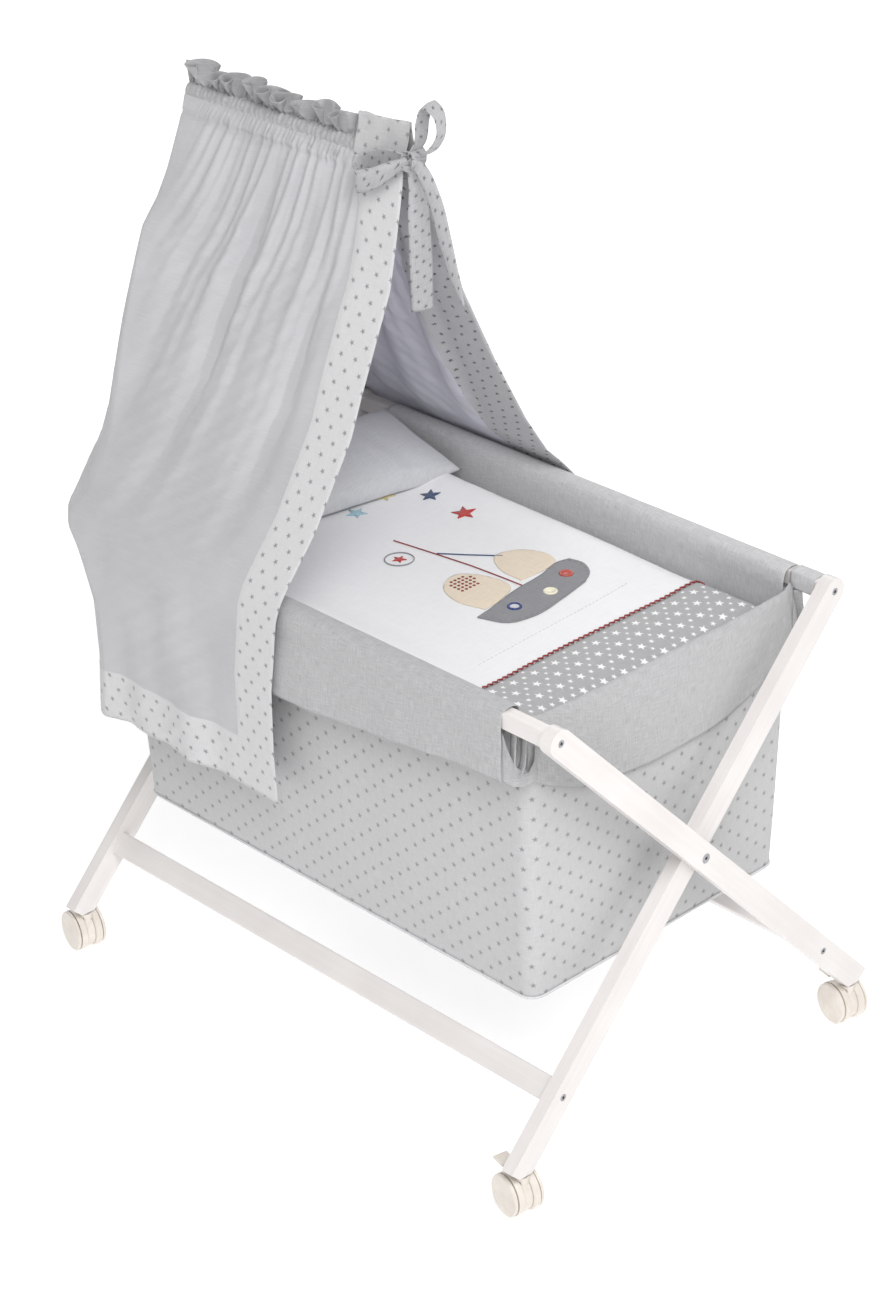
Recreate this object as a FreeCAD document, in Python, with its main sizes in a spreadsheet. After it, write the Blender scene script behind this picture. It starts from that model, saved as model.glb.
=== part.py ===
"""Folding bassinet on casters: two crossed wooden frames, a hung cotton basket, bedding and a canopy.

Millimetres. +Z is up, +X points to the foot end, the origin is on the floor below the pivot bolts.
Frame A carries the near rail (-Y) and the far stretcher (+Y); frame B is the same frame turned half round.
"""

import FreeCAD
import Part
import math
import os

import Sketcher

doc = FreeCAD.newDocument("bassinet")
V = FreeCAD.Vector

SIZES = {
    # stand
    "frame_len": 970, "leg_thick": 19.5, "leg_width": 38, "leg_gap": 1, "leg_slope": 46.5,
    "pivot_height": 425, "rail_reach": 400, "stretcher_reach": 370, "foot_reach": 493, "foot_flat": 66,
    "rail_wide": 22, "rail_tall": 24, "board_wide": 35, "board_thick": 18, "edge_round": 3,
    # bolts and barrel nuts
    "bolt_radius": 3, "bolt_head": 5, "bolt_head_tall": 5, "bolt_len": 62, "hex_key": 2.5, "fit_gap": 0.05,
    "nut_radius": 5, "nut_inset": 38, "pivot_radius": 4, "pivot_head": 7, "washer_radius": 9, "washer_thick": 1.5,
    # casters
    "wheel_radius": 31, "wheel_wide": 17, "web_wide": 12, "web_radius": 28, "wheel_gap": 0.6, "axle_radius": 4,
    "trail": 10, "stem_radius": 4, "stem_top": 94, "socket_radius": 6, "neck_radius": 10, "neck_top": 63,
    "foot_span": 325, "caster_turn": -12, "tab_len": 24, "tab_wide": 22, "tab_thick": 3.5,
    # canopy support
    "pole_radius": 7, "pole_wall": 1.5, "pole_x": -503, "pole_foot": 440, "arm_height": 1270, "arm_end": -62,
    "arm_bend": 45, "bracket_wide": 34, "bracket_low": 408, "bracket_top": 530, "knob_radius": 13,
    # basket
    "basket_low": 270, "basket_top": 700, "basket_len_low": 800, "basket_len_top": 822,
    "basket_wide_low": 492, "basket_wide_top": 524, "basket_corner": 22, "cloth": 2.5,
    "band_low": 600, "band_end_low": 562, "band_end_top": 716, "band_from": -398, "band_to": 392,
    # bedding
    "shelf_height": 508, "board_ply": 8, "mattress_tall": 104, "quilt_top": 672,
    "pillow_front": -236, "pillow_top": 732, "pillow_half_wide": 226,
    "bed_half_len": 394, "bed_half_wide": 246, "patch_thick": 2.5,
    # canopy cloth
    "ridge_top": 1286, "upper": 1090, "upper_half": 70, "shoulder": 744, "hem": 428, "head_hem": 565, "curtain_wide": 303,
    "curtain_front": -37, "curtain_head": -524, "veil": 3.5, "ruffle_top": 1312,
}

sheet = doc.addObject("Spreadsheet::Sheet", "size")
for row, (alias, value) in enumerate(SIZES.items(), start=1):
    sheet.set(f"A{row}", alias)
    sheet.set(f"B{row}", str(value))
    sheet.setAlias(f"B{row}", alias)
doc.recompute()

parts = []


def val(expression):
    """The number that an expression on the sheet gives, with aliases written as $name."""
    result = sheet.evalExpression(expression.replace("$", ""))
    return float(getattr(result, "Value", result))


def bind(obj, **sizes):
    """Bind each property to an expression on the sheet, with aliases written as $name."""
    for name, expression in sizes.items():
        obj.setExpression(name.replace("__", "."), str(expression).replace("$", "size."))
    return obj


def at(x=0, y=0, z=0, axis=V(0, 0, 1), angle=0):
    return FreeCAD.Placement(V(x, y, z), FreeCAD.Rotation(axis, angle))


def keep(obj, node, where=None):
    """Give a finished sub-part its node name and place."""
    obj.Label = node
    if where is not None:
        obj.Placement = where
    parts.append(obj)
    return obj


def box(name, wide, deep, tall, where=None):
    obj = bind(doc.addObject("Part::Box", name), Length=wide, Width=deep, Height=tall)
    obj.Placement = where or at()
    return obj


def rod(name, radius, length, where=None):
    obj = bind(doc.addObject("Part::Cylinder", name), Radius=radius, Height=length)
    obj.Placement = where or at()
    return obj


def cut(name, base, tools):
    """Base minus each tool; several tools are fused first."""
    obj = doc.addObject("Part::Cut", name)
    obj.Base = base
    obj.Tool = tools[0] if len(tools) == 1 else join(name + "_tools", tools)
    return obj


def join(name, shapes):
    obj = doc.addObject("Part::MultiFuse", name)
    obj.Shapes = shapes
    return obj


def group(name, shapes):
    """Several separate solids in one node."""
    obj = doc.addObject("Part::Compound", name)
    obj.Links = shapes
    return obj


def solid(node, shape, where=None):
    """A sub-part whose shape comes from Part's own functions."""
    obj = doc.addObject("Part::Feature", node + "_shape")
    obj.Shape = shape
    return keep(obj, node, where or at())


ALONG_Y = FreeCAD.Rotation(V(1, 0, 0), -90)


def toward_x(x, y, z, way=1):
    """A placement whose own Z points along +X, or along -X when way is -1."""
    return FreeCAD.Placement(V(x, y, z), FreeCAD.Rotation(V(0, 1, 0), 90 * way))


# ---------------------------------------------------------------- sketches

def new_body(name):
    return doc.addObject("PartDesign::Body", name)


def sketch_on(body, role, name):
    plane = [f for f in body.Origin.OriginFeatures if f.Role == role][0]
    sketch = body.newObject("Sketcher::SketchObject", name)
    sketch.AttachmentSupport = (plane, [""])
    sketch.MapMode = "FlatFace"
    return sketch


def fix(sketch, kind, *args):
    """Add a constraint whose last argument is an expression, and bind it to the sheet."""
    index = sketch.addConstraint(Sketcher.Constraint(kind, *args[:-1], val(args[-1])))
    sketch.setExpression(f"Constraints[{index}]", args[-1].replace("$", "size."))


def outline(sketch, corners):
    """A closed outline. A corner is (x, y), or (x, y, centre x) where a half round runs to the next corner."""
    spots = [V(val(c[0]), val(c[1]), 0) for c in corners]
    count = len(corners)
    for i, corner in enumerate(corners):
        start, end = spots[i], spots[(i + 1) % count]
        if len(corner) == 3:
            middle = (start + end) * 0.5
            side = (end - start).cross(V(0, 0, 1)).normalize()
            crown = middle + side * (end - start).Length / 2
            sketch.addGeometry(Part.Arc(start, crown, end), False)
        else:
            sketch.addGeometry(Part.LineSegment(start, end), False)
    for i, corner in enumerate(corners):
        previous = (i - 1) % count
        back = len(corners[previous]) == 2
        first = 1 if len(corner) == 2 else arc_end(sketch, i, spots[i])
        last = 2 if back else arc_end(sketch, previous, spots[i])
        sketch.addConstraint(Sketcher.Constraint("Coincident", previous, last, i, first))
        fix(sketch, "DistanceX", -1, 1, i, first, corner[0])
        fix(sketch, "DistanceY", -1, 1, i, first, corner[1])
        if len(corner) == 3:
            fix(sketch, "DistanceX", -1, 1, i, 3, corner[2])


def arc_end(sketch, index, spot):
    """Which end of an arc, 1 or 2, lies at a spot."""
    return 1 if sketch.getPoint(index, 1).distanceToPoint(spot) < 1e-6 else 2


def circle(sketch, x, y, radius):
    index = sketch.addGeometry(Part.Circle(V(val(x), val(y), 0), V(0, 0, 1), val(radius)), False)
    fix(sketch, "DistanceX", -1, 1, index, 3, x)
    fix(sketch, "DistanceY", -1, 1, index, 3, y)
    fix(sketch, "Radius", index, radius)


def pad(body, sketch, length, name, middle=False):
    feature = body.newObject("PartDesign::Pad", name)
    feature.Profile = sketch
    feature.Midplane = middle
    return bind(feature, Length=length)


def pocket(body, sketch, name, length=None, reverse=False):
    """Cut a sketch into a body, to a depth or right through both ways, and check that it cut something."""
    doc.recompute()
    before = body.Shape.Volume
    feature = body.newObject("PartDesign::Pocket", name)
    feature.Profile = sketch
    feature.Reversed = reverse
    if length is None:
        feature.Type = "ThroughAll"
        feature.Midplane = True
    else:
        bind(feature, Length=length)
    doc.recompute()
    if body.Shape.Volume > before - 1:
        raise RuntimeError(name + " cuts nothing")
    return feature


# ---------------------------------------------------------------- stand

SLOPE = math.radians(val("$leg_slope"))
DOWN = V(0, math.cos(SLOPE), -math.sin(SLOPE))
OVER = V(0, math.sin(SLOPE), math.cos(SLOPE))
HALF_TURN = FreeCAD.Placement(V(0, 0, 0), FreeCAD.Rotation(V(0, 0, 1), 180))


def leg_frame(x):
    """Frame A's leg axes: own X runs down the leg from the pivot, own Y to its upper edge, own Z along +X."""
    return FreeCAD.Placement(V(x, 0, val("$pivot_height")), FreeCAD.Rotation(DOWN, OVER, V(1, 0, 0), "XYZ"))


def leg(node, x, outer, turn):
    """A flat leg with a half-round top and a foot cut square, then level for the caster."""
    name = node + "_body"
    body = new_body(name)
    shape = sketch_on(body, "XY_Plane", name + "_outline")
    rise = "($pivot_height - $foot_flat)"
    square_end = f"($foot_reach * sin($leg_slope * 1 deg) - {rise}) / cos($leg_slope * 1 deg)"
    level_end = f"({rise} - $leg_width / 2 * cos($leg_slope * 1 deg)) / sin($leg_slope * 1 deg)"
    outline(shape, [
        ("-$rail_reach", "$leg_width / 2", "-$rail_reach"),
        ("-$rail_reach", "-$leg_width / 2"),
        (level_end, "-$leg_width / 2"),
        ("$foot_reach", square_end),
        ("$foot_reach", "$leg_width / 2"),
    ])
    pad(body, shape, "$leg_thick", name + "_pad")
    bores = sketch_on(body, "XY_Plane", name + "_bores")
    for reach, radius in (("-$rail_reach", "$bolt_radius"), ("0", "$pivot_radius"), ("$stretcher_reach", "$bolt_radius")):
        circle(bores, reach, "0", radius + " + $fit_gap")
    pocket(body, bores, name + "_bore_cut")
    seats = sketch_on(body, "XY_Plane", name + "_seats")
    for reach in ("-$rail_reach", "$stretcher_reach"):
        circle(seats, reach, "0", "$bolt_head + 0.3")
    if outer:
        circle(seats, "0", "0", "$pivot_head + 0.3")
        bind(seats, AttachmentOffset__Base__z="$leg_thick - $bolt_head_tall")
    pocket(body, seats, name + "_seat_cut", "$bolt_head_tall", reverse=True)
    place = leg_frame(x)
    hole = rod(node + "_stem_bore", "$socket_radius", "40")
    hole.Placement = at(x + val("$leg_thick / 2"), val("$foot_span"), val("$foot_flat") - 10)
    body.Placement = place
    return keep(cut(node + "_drilled", body, [hole]), node, turn)


def rounded(name, base, radius):
    """A bar whose four long edges, along its own X, are rounded."""
    doc.recompute()
    fillet = doc.addObject("Part::Fillet", name)
    fillet.Base = base
    long_edges = [i for i, e in enumerate(base.Shape.Edges, start=1) if abs(e.tangentAt(e.FirstParameter).x) > 0.99]
    fillet.Edges = [(i, radius, radius) for i in long_edges]
    return fillet


def crossbar(node, wide, tall, reach, tilt, turn):
    """A bar between frame A's two legs, bored at each end for a bolt and, from below, for a barrel nut."""
    start, end = -val("$frame_len / 2 - 2 * $leg_thick - $leg_gap"), val("$frame_len / 2 - $leg_thick")
    bar = box(node + "_bar", str(end - start), wide, tall, at(0, -val(wide) / 2, -val(tall) / 2))
    bar = rounded(node + "_rounded", bar, val("$edge_round"))
    tools = []
    for i, (x, way) in enumerate(((0, 1), (end - start, -1))):
        tools.append(rod(f"{node}_bore_{i}", "$bolt_radius + $fit_gap", "$bolt_len", toward_x(x, 0, 0, way)))
        inset = x + way * val("$nut_inset")
        tools.append(rod(f"{node}_nut_bore_{i}", "$nut_radius + $fit_gap", tall + " - 2", at(inset, 0, -val(tall) / 2)))
    bar = cut(node + "_bored", bar, tools)
    place = FreeCAD.Placement(
        V(start, 0, val("$pivot_height")) + DOWN * reach, FreeCAD.Rotation(V(1, 0, 0), tilt))
    return keep(bar, node, turn.multiply(place))


def bolt(name, radius, length, head, head_tall, where):
    """A socket-head bolt: own Z runs from the head's outer face down the shank."""
    shank = rod(name + "_shank", radius, length, at())
    cap = rod(name + "_cap", head, head_tall, at())
    key = bind(doc.addObject("Part::Prism", name + "_key"), Circumradius="$hex_key", Height="3")
    whole = cut(name, join(name + "_blank", [shank, cap]), [key])
    whole.Placement = where
    return whole


def frame_fasteners(letter, turn):
    """The four bolts and four barrel nuts of one frame, and its two caster sockets."""
    bolts, nuts, sockets = [], [], []
    faces = ((val("$frame_len / 2"), -1), (-val("$frame_len / 2 - $leg_thick - $leg_gap"), 1))
    stretcher_tilt = -val("$leg_slope")
    for i, (face, way) in enumerate(faces):
        for j, (reach, tilt, tall) in enumerate((
                (-val("$rail_reach"), 0, "$rail_tall"), (val("$stretcher_reach"), stretcher_tilt, "$board_thick"))):
            centre = V(0, 0, val("$pivot_height")) + DOWN * reach
            name = f"frame_{letter}_bolt_{i}{j}"
            bolts.append(bolt(name, "$bolt_radius", "$bolt_len", "$bolt_head", "$bolt_head_tall",
                              toward_x(face, centre.y, centre.z, way)))
            barrel = rod(name + "_nut", "$nut_radius", f"{tall} - 4", at(0, 0, 2 - val(tall) / 2))
            bore = rod(name + "_nut_bore", "$bolt_radius + $fit_gap", "30", toward_x(-15, 0, 0))
            nut = cut(name + "_barrel", barrel, [bore])
            inset = face + way * (val("$leg_thick") + val("$nut_inset"))
            nut.Placement = FreeCAD.Placement(V(inset, centre.y, centre.z), FreeCAD.Rotation(V(1, 0, 0), tilt))
            nuts.append(nut)
        middle = face + way * val("$leg_thick / 2")
        sleeve = rod(f"frame_{letter}_sleeve_{i}", "$socket_radius", "29.5", at())
        hollow = rod(f"frame_{letter}_hollow_{i}", "$stem_radius + $fit_gap", "29.5", at())
        socket = cut(f"frame_{letter}_socket_{i}", sleeve, [hollow])
        socket.Placement = at(middle, val("$foot_span"), val("$foot_flat"))
        sockets.append(socket)
    for kind, shapes in (("bolts", bolts), ("barrel_nuts", nuts), ("caster_sockets", sockets)):
        keep(group(f"frame_{letter}_{kind}_group", shapes), f"frame_{letter}_{kind}", turn)


def stand():
    outer_leg, inner_leg = val("$frame_len / 2 - $leg_thick"), -val("$frame_len / 2 - $leg_thick - $leg_gap")
    for letter, turn, names in (
            ("a", at(), ("rail_near", "leg_foot_outer", "leg_head_inner", "stretcher_far")),
            ("b", HALF_TURN, ("rail_far", "leg_head_outer", "leg_foot_inner", "stretcher_near"))):
        rail, outer, inner, stretcher = names
        leg(outer, outer_leg, True, turn)
        leg(inner, inner_leg, False, turn)
        crossbar(rail, "$rail_wide", "$rail_tall", -val("$rail_reach"), 0, turn)
        crossbar(stretcher, "$board_wide", "$board_thick", val("$stretcher_reach"), -val("$leg_slope"), turn)
        frame_fasteners(letter, turn)


def pivots():
    """The two bolts that the frames turn on, each with a washer and nut against the inner leg."""
    outer_face = val("$frame_len / 2")
    inner_face = outer_face - val("2 * $leg_thick + $leg_gap")
    height = val("$pivot_height")
    bracket = val("$bracket_wide")
    bolts, washers, nuts = [], [], []
    for i, (way, extra) in enumerate(((1, 0), (-1, bracket + 1))):
        length = str(56 + extra)
        bolts.append(bolt(f"pivot_bolt_{i}", "$pivot_radius", length, "$pivot_head", "$bolt_head_tall",
                          toward_x(way * (outer_face + extra), 0, height, -way)))
        disc = rod(f"pivot_disc_{i}", "$washer_radius", "$washer_thick")
        bore = rod(f"pivot_disc_bore_{i}", "$pivot_radius + $fit_gap", "$washer_thick")
        washer = cut(f"pivot_washer_{i}", disc, [bore])
        washer.Placement = toward_x(way * inner_face, 0, height, -way)
        washers.append(washer)
        hexagon = bind(doc.addObject("Part::Prism", f"pivot_hex_{i}"), Circumradius="7.5", Height="8")
        thread = rod(f"pivot_nut_bore_{i}", "$pivot_radius + $fit_gap", "8", at())
        nut = cut(f"pivot_nut_{i}", hexagon, [thread])
        nut.Placement = toward_x(way * (inner_face - val("$washer_thick")), 0, height, -way)
        nuts.append(nut)
    keep(group("pivot_bolts_group", bolts), "pivot_bolts", at())
    keep(group("pivot_washers_group", washers), "pivot_washers", at())
    keep(group("pivot_nuts_group", nuts), "pivot_nuts", at())


# ---------------------------------------------------------------- casters

def caster(spot, x, y, brake):
    """A twin-wheel caster: own origin on the floor below its stem, axle along own Y, wheels trailing to own -X."""
    place = at(x, y, 0, V(0, 0, 1), val("$caster_turn"))
    prefix = f"caster_{spot}"
    trail, radius = val("$trail"), val("$wheel_radius")
    across = val("$web_wide / 2")
    body = new_body(prefix + "_housing_body")
    side = sketch_on(body, "XZ_Plane", prefix + "_side")
    circle(side, "-$trail", "$wheel_radius", "$web_radius")
    pad(body, side, "$web_wide", prefix + "_web", middle=True)
    top = sketch_on(body, "XY_Plane", prefix + "_neck_round")
    circle(top, "0", "0", "$neck_radius")
    bind(top, AttachmentOffset__Base__z="$wheel_radius + 6")
    neck = pad(body, top, "$neck_top - $wheel_radius - 6", prefix + "_neck")
    body.Tip = neck
    bore = sketch_on(body, "XZ_Plane", prefix + "_axle_bore")
    circle(bore, "-$trail", "$wheel_radius", "$axle_radius + $fit_gap")
    pocket(body, bore, prefix + "_axle_cut")
    well = rod(prefix + "_stem_well", "$stem_radius + $fit_gap", "40", at(0, 0, val("$wheel_radius") + 12))
    tools = [well]
    for i, start in enumerate((across, -across - val("$wheel_wide"))):
        room = rod(f"{prefix}_wheel_room_{i}", "$wheel_radius + $wheel_gap", "$wheel_wide")
        room.Placement = FreeCAD.Placement(V(-trail, start, radius), ALONG_Y)
        tools.append(room)
    if brake:
        tools.append(rod(prefix + "_pin_room", "2 + $fit_gap", "40", brake_spot(-20)))
        tools.append(box(prefix + "_lever_room", "40", "$web_wide - 5", "20",
                         at(-trail - 40, 2.5 - across, val("$neck_top") - 10)))
    keep(cut(prefix + "_housing_cut", body, tools), prefix + "_housing", place)
    stem = rod(prefix + "_stem_rod", "$stem_radius", "$stem_top - $wheel_radius - 12",
               at(0, 0, val("$wheel_radius") + 12))
    collar = rod(prefix + "_stem_collar", "$neck_radius - 1", "1.5", at(0, 0, val("$neck_top") + 0.2))
    keep(join(prefix + "_stem_whole", [stem, collar]), prefix + "_stem", place)
    span = "$web_wide + 2 * $wheel_gap + 2 * $wheel_wide - 8"
    axle = rod(prefix + "_axle_rod", "$axle_radius", span, at())
    axle.Placement = FreeCAD.Placement(V(-trail, -val(span) / 2, radius), ALONG_Y)
    keep(axle, prefix + "_axle", place.multiply(axle.Placement))
    wheels = []
    for i, way in enumerate((1, -1)):
        wheels.append(wheel(f"{prefix}_wheel_{i}", way))
    keep(group(prefix + "_wheels_group", wheels), prefix + "_wheels", place)
    if brake:
        brake_lever(prefix, place)


def wheel(name, way):
    """One wheel: tread, groove, crowned cover disc and blind hub bore; way is the side of the web it is on."""
    body = new_body(name)
    half = sketch_on(body, "XY_Plane", name + "_half")
    outline(half, [
        ("0", "0"),
        ("$wheel_radius - 2", "0"),
        ("$wheel_radius", "2"),
        ("$wheel_radius", "$wheel_wide - 6.5"),
        ("$wheel_radius - 5", "$wheel_wide - 6.5"),
        ("$wheel_radius - 5", "$wheel_wide - 4.8"),
        ("$wheel_radius - 1", "$wheel_wide - 4.8"),
        ("$wheel_radius - 0.5", "$wheel_wide - 1.5"),
        ("$wheel_radius - 2", "$wheel_wide"),
        ("0", "$wheel_wide + 0.8"),
    ])
    turned = body.newObject("PartDesign::Revolution", name + "_turned")
    turned.Profile = half
    turned.ReferenceAxis = (half, ["V_Axis"])
    turned.Angle = 360
    hub = rod(name + "_hub_bore", "$axle_radius", "$wheel_wide - 4", at())
    hub.Placement = FreeCAD.Placement(V(0, 0, 0), ALONG_Y)
    bored = cut(name + "_bored", body, [hub])
    face = val("$web_wide / 2 + $wheel_gap")
    bored.Placement = FreeCAD.Placement(
        V(-val("$trail"), way * face, val("$wheel_radius")), FreeCAD.Rotation(V(0, 0, 1), 0 if way > 0 else 180))
    return bored


def brake_spot(start):
    """The brake lever's pin line, along own Y of the caster."""
    return FreeCAD.Placement(V(-val("$trail") - 12, start, val("$neck_top") - 6), ALONG_Y)


def brake_lever(prefix, place):
    """A foot tab that rocks on a short pin in the top of the housing."""
    across = val("$web_wide - 6")
    pin_x, pin_z = -val("$trail") - 12, val("$neck_top") - 6
    tab = box(prefix + "_tab", "$tab_len", "$tab_wide", "$tab_thick",
              at(pin_x - 8 - val("$tab_len"), -val("$tab_wide") / 2, pin_z + 4))
    arm = box(prefix + "_arm", "18", "$web_wide - 6", "6", at(pin_x - 14, -across / 2, pin_z - 1.2))
    pin = rod(prefix + "_pin", "2", "$web_wide - 0.6", brake_spot(-val("$web_wide - 0.6") / 2))
    keep(join(prefix + "_lever_whole", [tab, arm, pin]), prefix + "_brake_lever", place)


def casters():
    middle_a = val("$frame_len / 2 - $leg_thick / 2")
    middle_b = val("$frame_len / 2 - 1.5 * $leg_thick - $leg_gap")
    span = val("$foot_span")
    caster("foot_far", middle_a, span, True)
    caster("head_far", -middle_b, span, False)
    caster("foot_near", middle_b, -span, True)
    caster("head_near", -middle_a, -span, False)


# ---------------------------------------------------------------- canopy support

def pole():
    """One tube: an upright at the head end, bent over into a level arm above the pillow."""
    x, foot, high = val("$pole_x"), val("$pole_foot"), val("$arm_height")
    bend, end = val("$arm_bend"), val("$arm_end")
    low_turn, high_turn = V(x, 0, high - bend), V(x + bend, 0, high)
    crown = V(x + bend * (1 - math.cos(math.pi / 4)), 0, high - bend * (1 - math.sin(math.pi / 4)))

    def tube(radius, start):
        route = Part.Wire([
            Part.LineSegment(V(x, 0, start), low_turn).toShape(),
            Part.Arc(low_turn, crown, high_turn).toShape(),
            Part.LineSegment(high_turn, V(end, 0, high)).toShape(),
        ])
        ring = Part.Wire(Part.makeCircle(radius, V(x, 0, start), V(0, 0, 1)))
        return route.makePipeShell([ring], True, True)

    radius = val("$pole_radius")
    solid("canopy_pole", tube(radius, foot).cut(tube(radius - val("$pole_wall"), foot)))
    plug = rod("arm_plug", "$pole_radius - $pole_wall - $fit_gap", "14", toward_x(end - 12, 0, high))
    cap = rod("arm_cap", "$pole_radius + 1", "5", toward_x(end + 0.1, 0, high))
    keep(join("arm_end", [plug, cap]), "pole_end_cap", at())


def bracket():
    """A block on the head pivot bolt with a blind bore for the pole and a knob that clamps it."""
    wide, low, top = val("$bracket_wide"), val("$bracket_low"), val("$bracket_top")
    face = -val("$frame_len / 2") - 1
    block = box("bracket_block", "$bracket_wide", "$bracket_wide", "$bracket_top - $bracket_low",
                at(face - wide, -wide / 2, low))
    bore = rod("bracket_pole_bore", "$pole_radius + $fit_gap", "$bracket_top - $pole_foot + 1",
               at(val("$pole_x"), 0, val("$pole_foot")))
    pivot = rod("bracket_pivot_bore", "$pivot_radius + $fit_gap", "60",
                toward_x(face - wide - 5, 0, val("$pivot_height")))
    seat = rod("bracket_head_seat", "$pivot_head + 0.3", "$bolt_head_tall + 5",
               toward_x(face - wide - 5, 0, val("$pivot_height")))
    screw = rod("bracket_screw_bore", "3 + $fit_gap", "20", toward_x(face - wide - 1, 0, top - 30))
    keep(cut("bracket_drilled", block, [bore, pivot, seat, screw]), "pole_bracket", at())
    tip = val("$pole_x - $pole_radius") - 0.15
    shank = rod("knob_shank", "3", str(tip - (face - wide - 4)), toward_x(face - wide - 4, 0, top - 30))
    grip = rod("knob_grip", "$knob_radius", "12", toward_x(face - wide - 13, 0, top - 30))
    lobes = []
    for i in range(6):
        angle = math.radians(60 * i)
        lobes.append(rod(f"knob_flute_{i}", "3.5", "14", toward_x(
            face - wide - 14, 14.5 * math.cos(angle), top - 30 + 14.5 * math.sin(angle))))
    keep(cut("knob_fluted", join("knob_blank", [shank, grip]), lobes), "clamp_knob", at())


# ---------------------------------------------------------------- basket

def ring_wire(length, width, corner, z):
    """A rectangle with round corners, centred on the Z axis."""
    x, y, r = length / 2, width / 2, corner
    k = r * (1 - math.cos(math.pi / 4))
    edges = []
    for turn in range(4):
        spin = FreeCAD.Rotation(V(0, 0, 1), 90 * turn)
        a, b = (x, y) if turn % 2 == 0 else (y, x)
        start, mid, end = V(a, b - r, z), V(a - k, b - k, z), V(a - r, b, z)
        after = V(-a + r, b, z)
        edges.append(Part.Arc(*[spin.multVec(p) for p in (start, mid, end)]).toShape())
        edges.append(Part.LineSegment(spin.multVec(end), spin.multVec(after)).toShape())
    return Part.Wire(Part.__sortEdges__(edges))


def basket():
    """A tapered cotton tray with round corners, open at the top, with a board in its floor."""
    low, top, cloth, corner = (val(c) for c in ("$basket_low", "$basket_top", "$cloth", "$basket_corner"))
    long_low, long_top = val("$basket_len_low"), val("$basket_len_top")
    wide_low, wide_top = val("$basket_wide_low"), val("$basket_wide_top")
    shell = Part.makeLoft([ring_wire(long_low, wide_low, corner, low),
                           ring_wire(long_top, wide_top, corner, top)], True, True)
    room = Part.makeLoft([ring_wire(long_low - 2 * cloth, wide_low - 2 * cloth, corner - cloth, low + cloth),
                          ring_wire(long_top - 2 * cloth, wide_top - 2 * cloth, corner - cloth, top + 1)], True, True)
    solid("basket_cloth", shell.cut(room))
    board = Part.Face(ring_wire(long_low - 16, wide_low - 16, corner - 6, low + cloth + 0.3)).extrude(V(0, 0, 5))
    solid("basket_floor_board", board)


def folded_strip(node, depth_out, depth_in, top, gap, thick, length, where):
    """Cloth folded over an edge: own X along the edge, the fold across own Y, open below."""
    profile = [V(0, 0, top), V(0, gap, top), V(0, gap, top - depth_in), V(0, gap - thick, top - depth_in),
               V(0, gap - thick, top - thick), V(0, thick, top - thick), V(0, thick, top - depth_out),
               V(0, 0, top - depth_out), V(0, 0, top)]
    return solid(node, Part.Face(Part.makePolygon(profile)).extrude(V(length, 0, 0)), where)


def bands():
    """The four grey bands: two sleeves over the rails and two folds over the basket's ends."""
    rail_y = val("$rail_reach") * math.cos(SLOPE)
    outer = rail_y + val("$rail_wide / 2") + 3
    start, end = val("$band_from"), val("$band_to")
    top = val("$pivot_height") + val("$rail_reach") * math.sin(SLOPE) + val("$rail_tall / 2") + 3
    skirt, flap = top - val("$band_low"), 60
    gap = outer - (val("$basket_wide_top / 2 - $cloth") - 7)
    folded_strip("rail_band_near", skirt, flap, top, gap, 2, end - start, at(start, -outer, 0))
    folded_strip("rail_band_far", skirt, flap, top, gap, 2, end - start, at(end, outer, 0, angle=180))
    end_outer = val("$basket_len_top / 2") + 3
    end_top = val("$band_end_top")
    drop = end_top - val("$band_end_low")
    half = 250
    folded_strip("end_band_foot", drop, flap, end_top, 14, 2, 2 * half, at(end_outer, -half, 0, angle=90))
    folded_strip("end_band_head", drop, flap, end_top, 14, 2, 2 * half, at(-end_outer, half, 0, angle=-90))
    ties = []
    for i, (sx, sy) in enumerate(((1, -1), (1, 1), (-1, -1), (-1, 1))):
        ties.append(box(f"tie_{i}", "14", "2", "70", at(sx * 421 - 7, sy * 259 - 1, 640)))
    keep(group("corner_ties_group", ties), "corner_ties", at())


# ---------------------------------------------------------------- bedding

def soft_block(node, low, high, round_radius):
    """A padded block with every edge rounded."""
    size = high - low
    block = Part.makeBox(size.x, size.y, size.z, low)
    return solid(node, block.makeFillet(round_radius, block.Edges))


def shelf():
    """The upper floor: webbing straps across the basket and the board that the mattress lies on."""
    half_len, half_wide = val("$bed_half_len"), val("$bed_half_wide")
    height, ply = val("$shelf_height"), val("$board_ply")
    straps = []
    for i, x in enumerate((-280, 0, 280)):
        straps.append(box(f"strap_{i}", "40", "2 * $bed_half_wide + 4", "2",
                          at(x - 20, -half_wide - 2, height - ply - 2.3)))
    keep(group("shelf_straps_group", straps), "shelf_straps", at())
    keep(box("mattress_board_box", "2 * $bed_half_len - 10", "2 * $bed_half_wide - 10", "$board_ply",
             at(5 - half_len, 5 - half_wide, height - ply)), "mattress_board", at(5 - half_len, 5 - half_wide, height - ply))


def star(radius, centre, thick):
    """A five-pointed star lying flat."""
    points = []
    for i in range(11):
        reach = radius if i % 2 == 0 else radius * 0.42
        angle = math.pi + math.radians(36 * i)
        points.append(centre + V(reach * math.cos(angle), reach * math.sin(angle), 0))
    return Part.Face(Part.makePolygon(points)).extrude(V(0, 0, thick))


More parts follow.
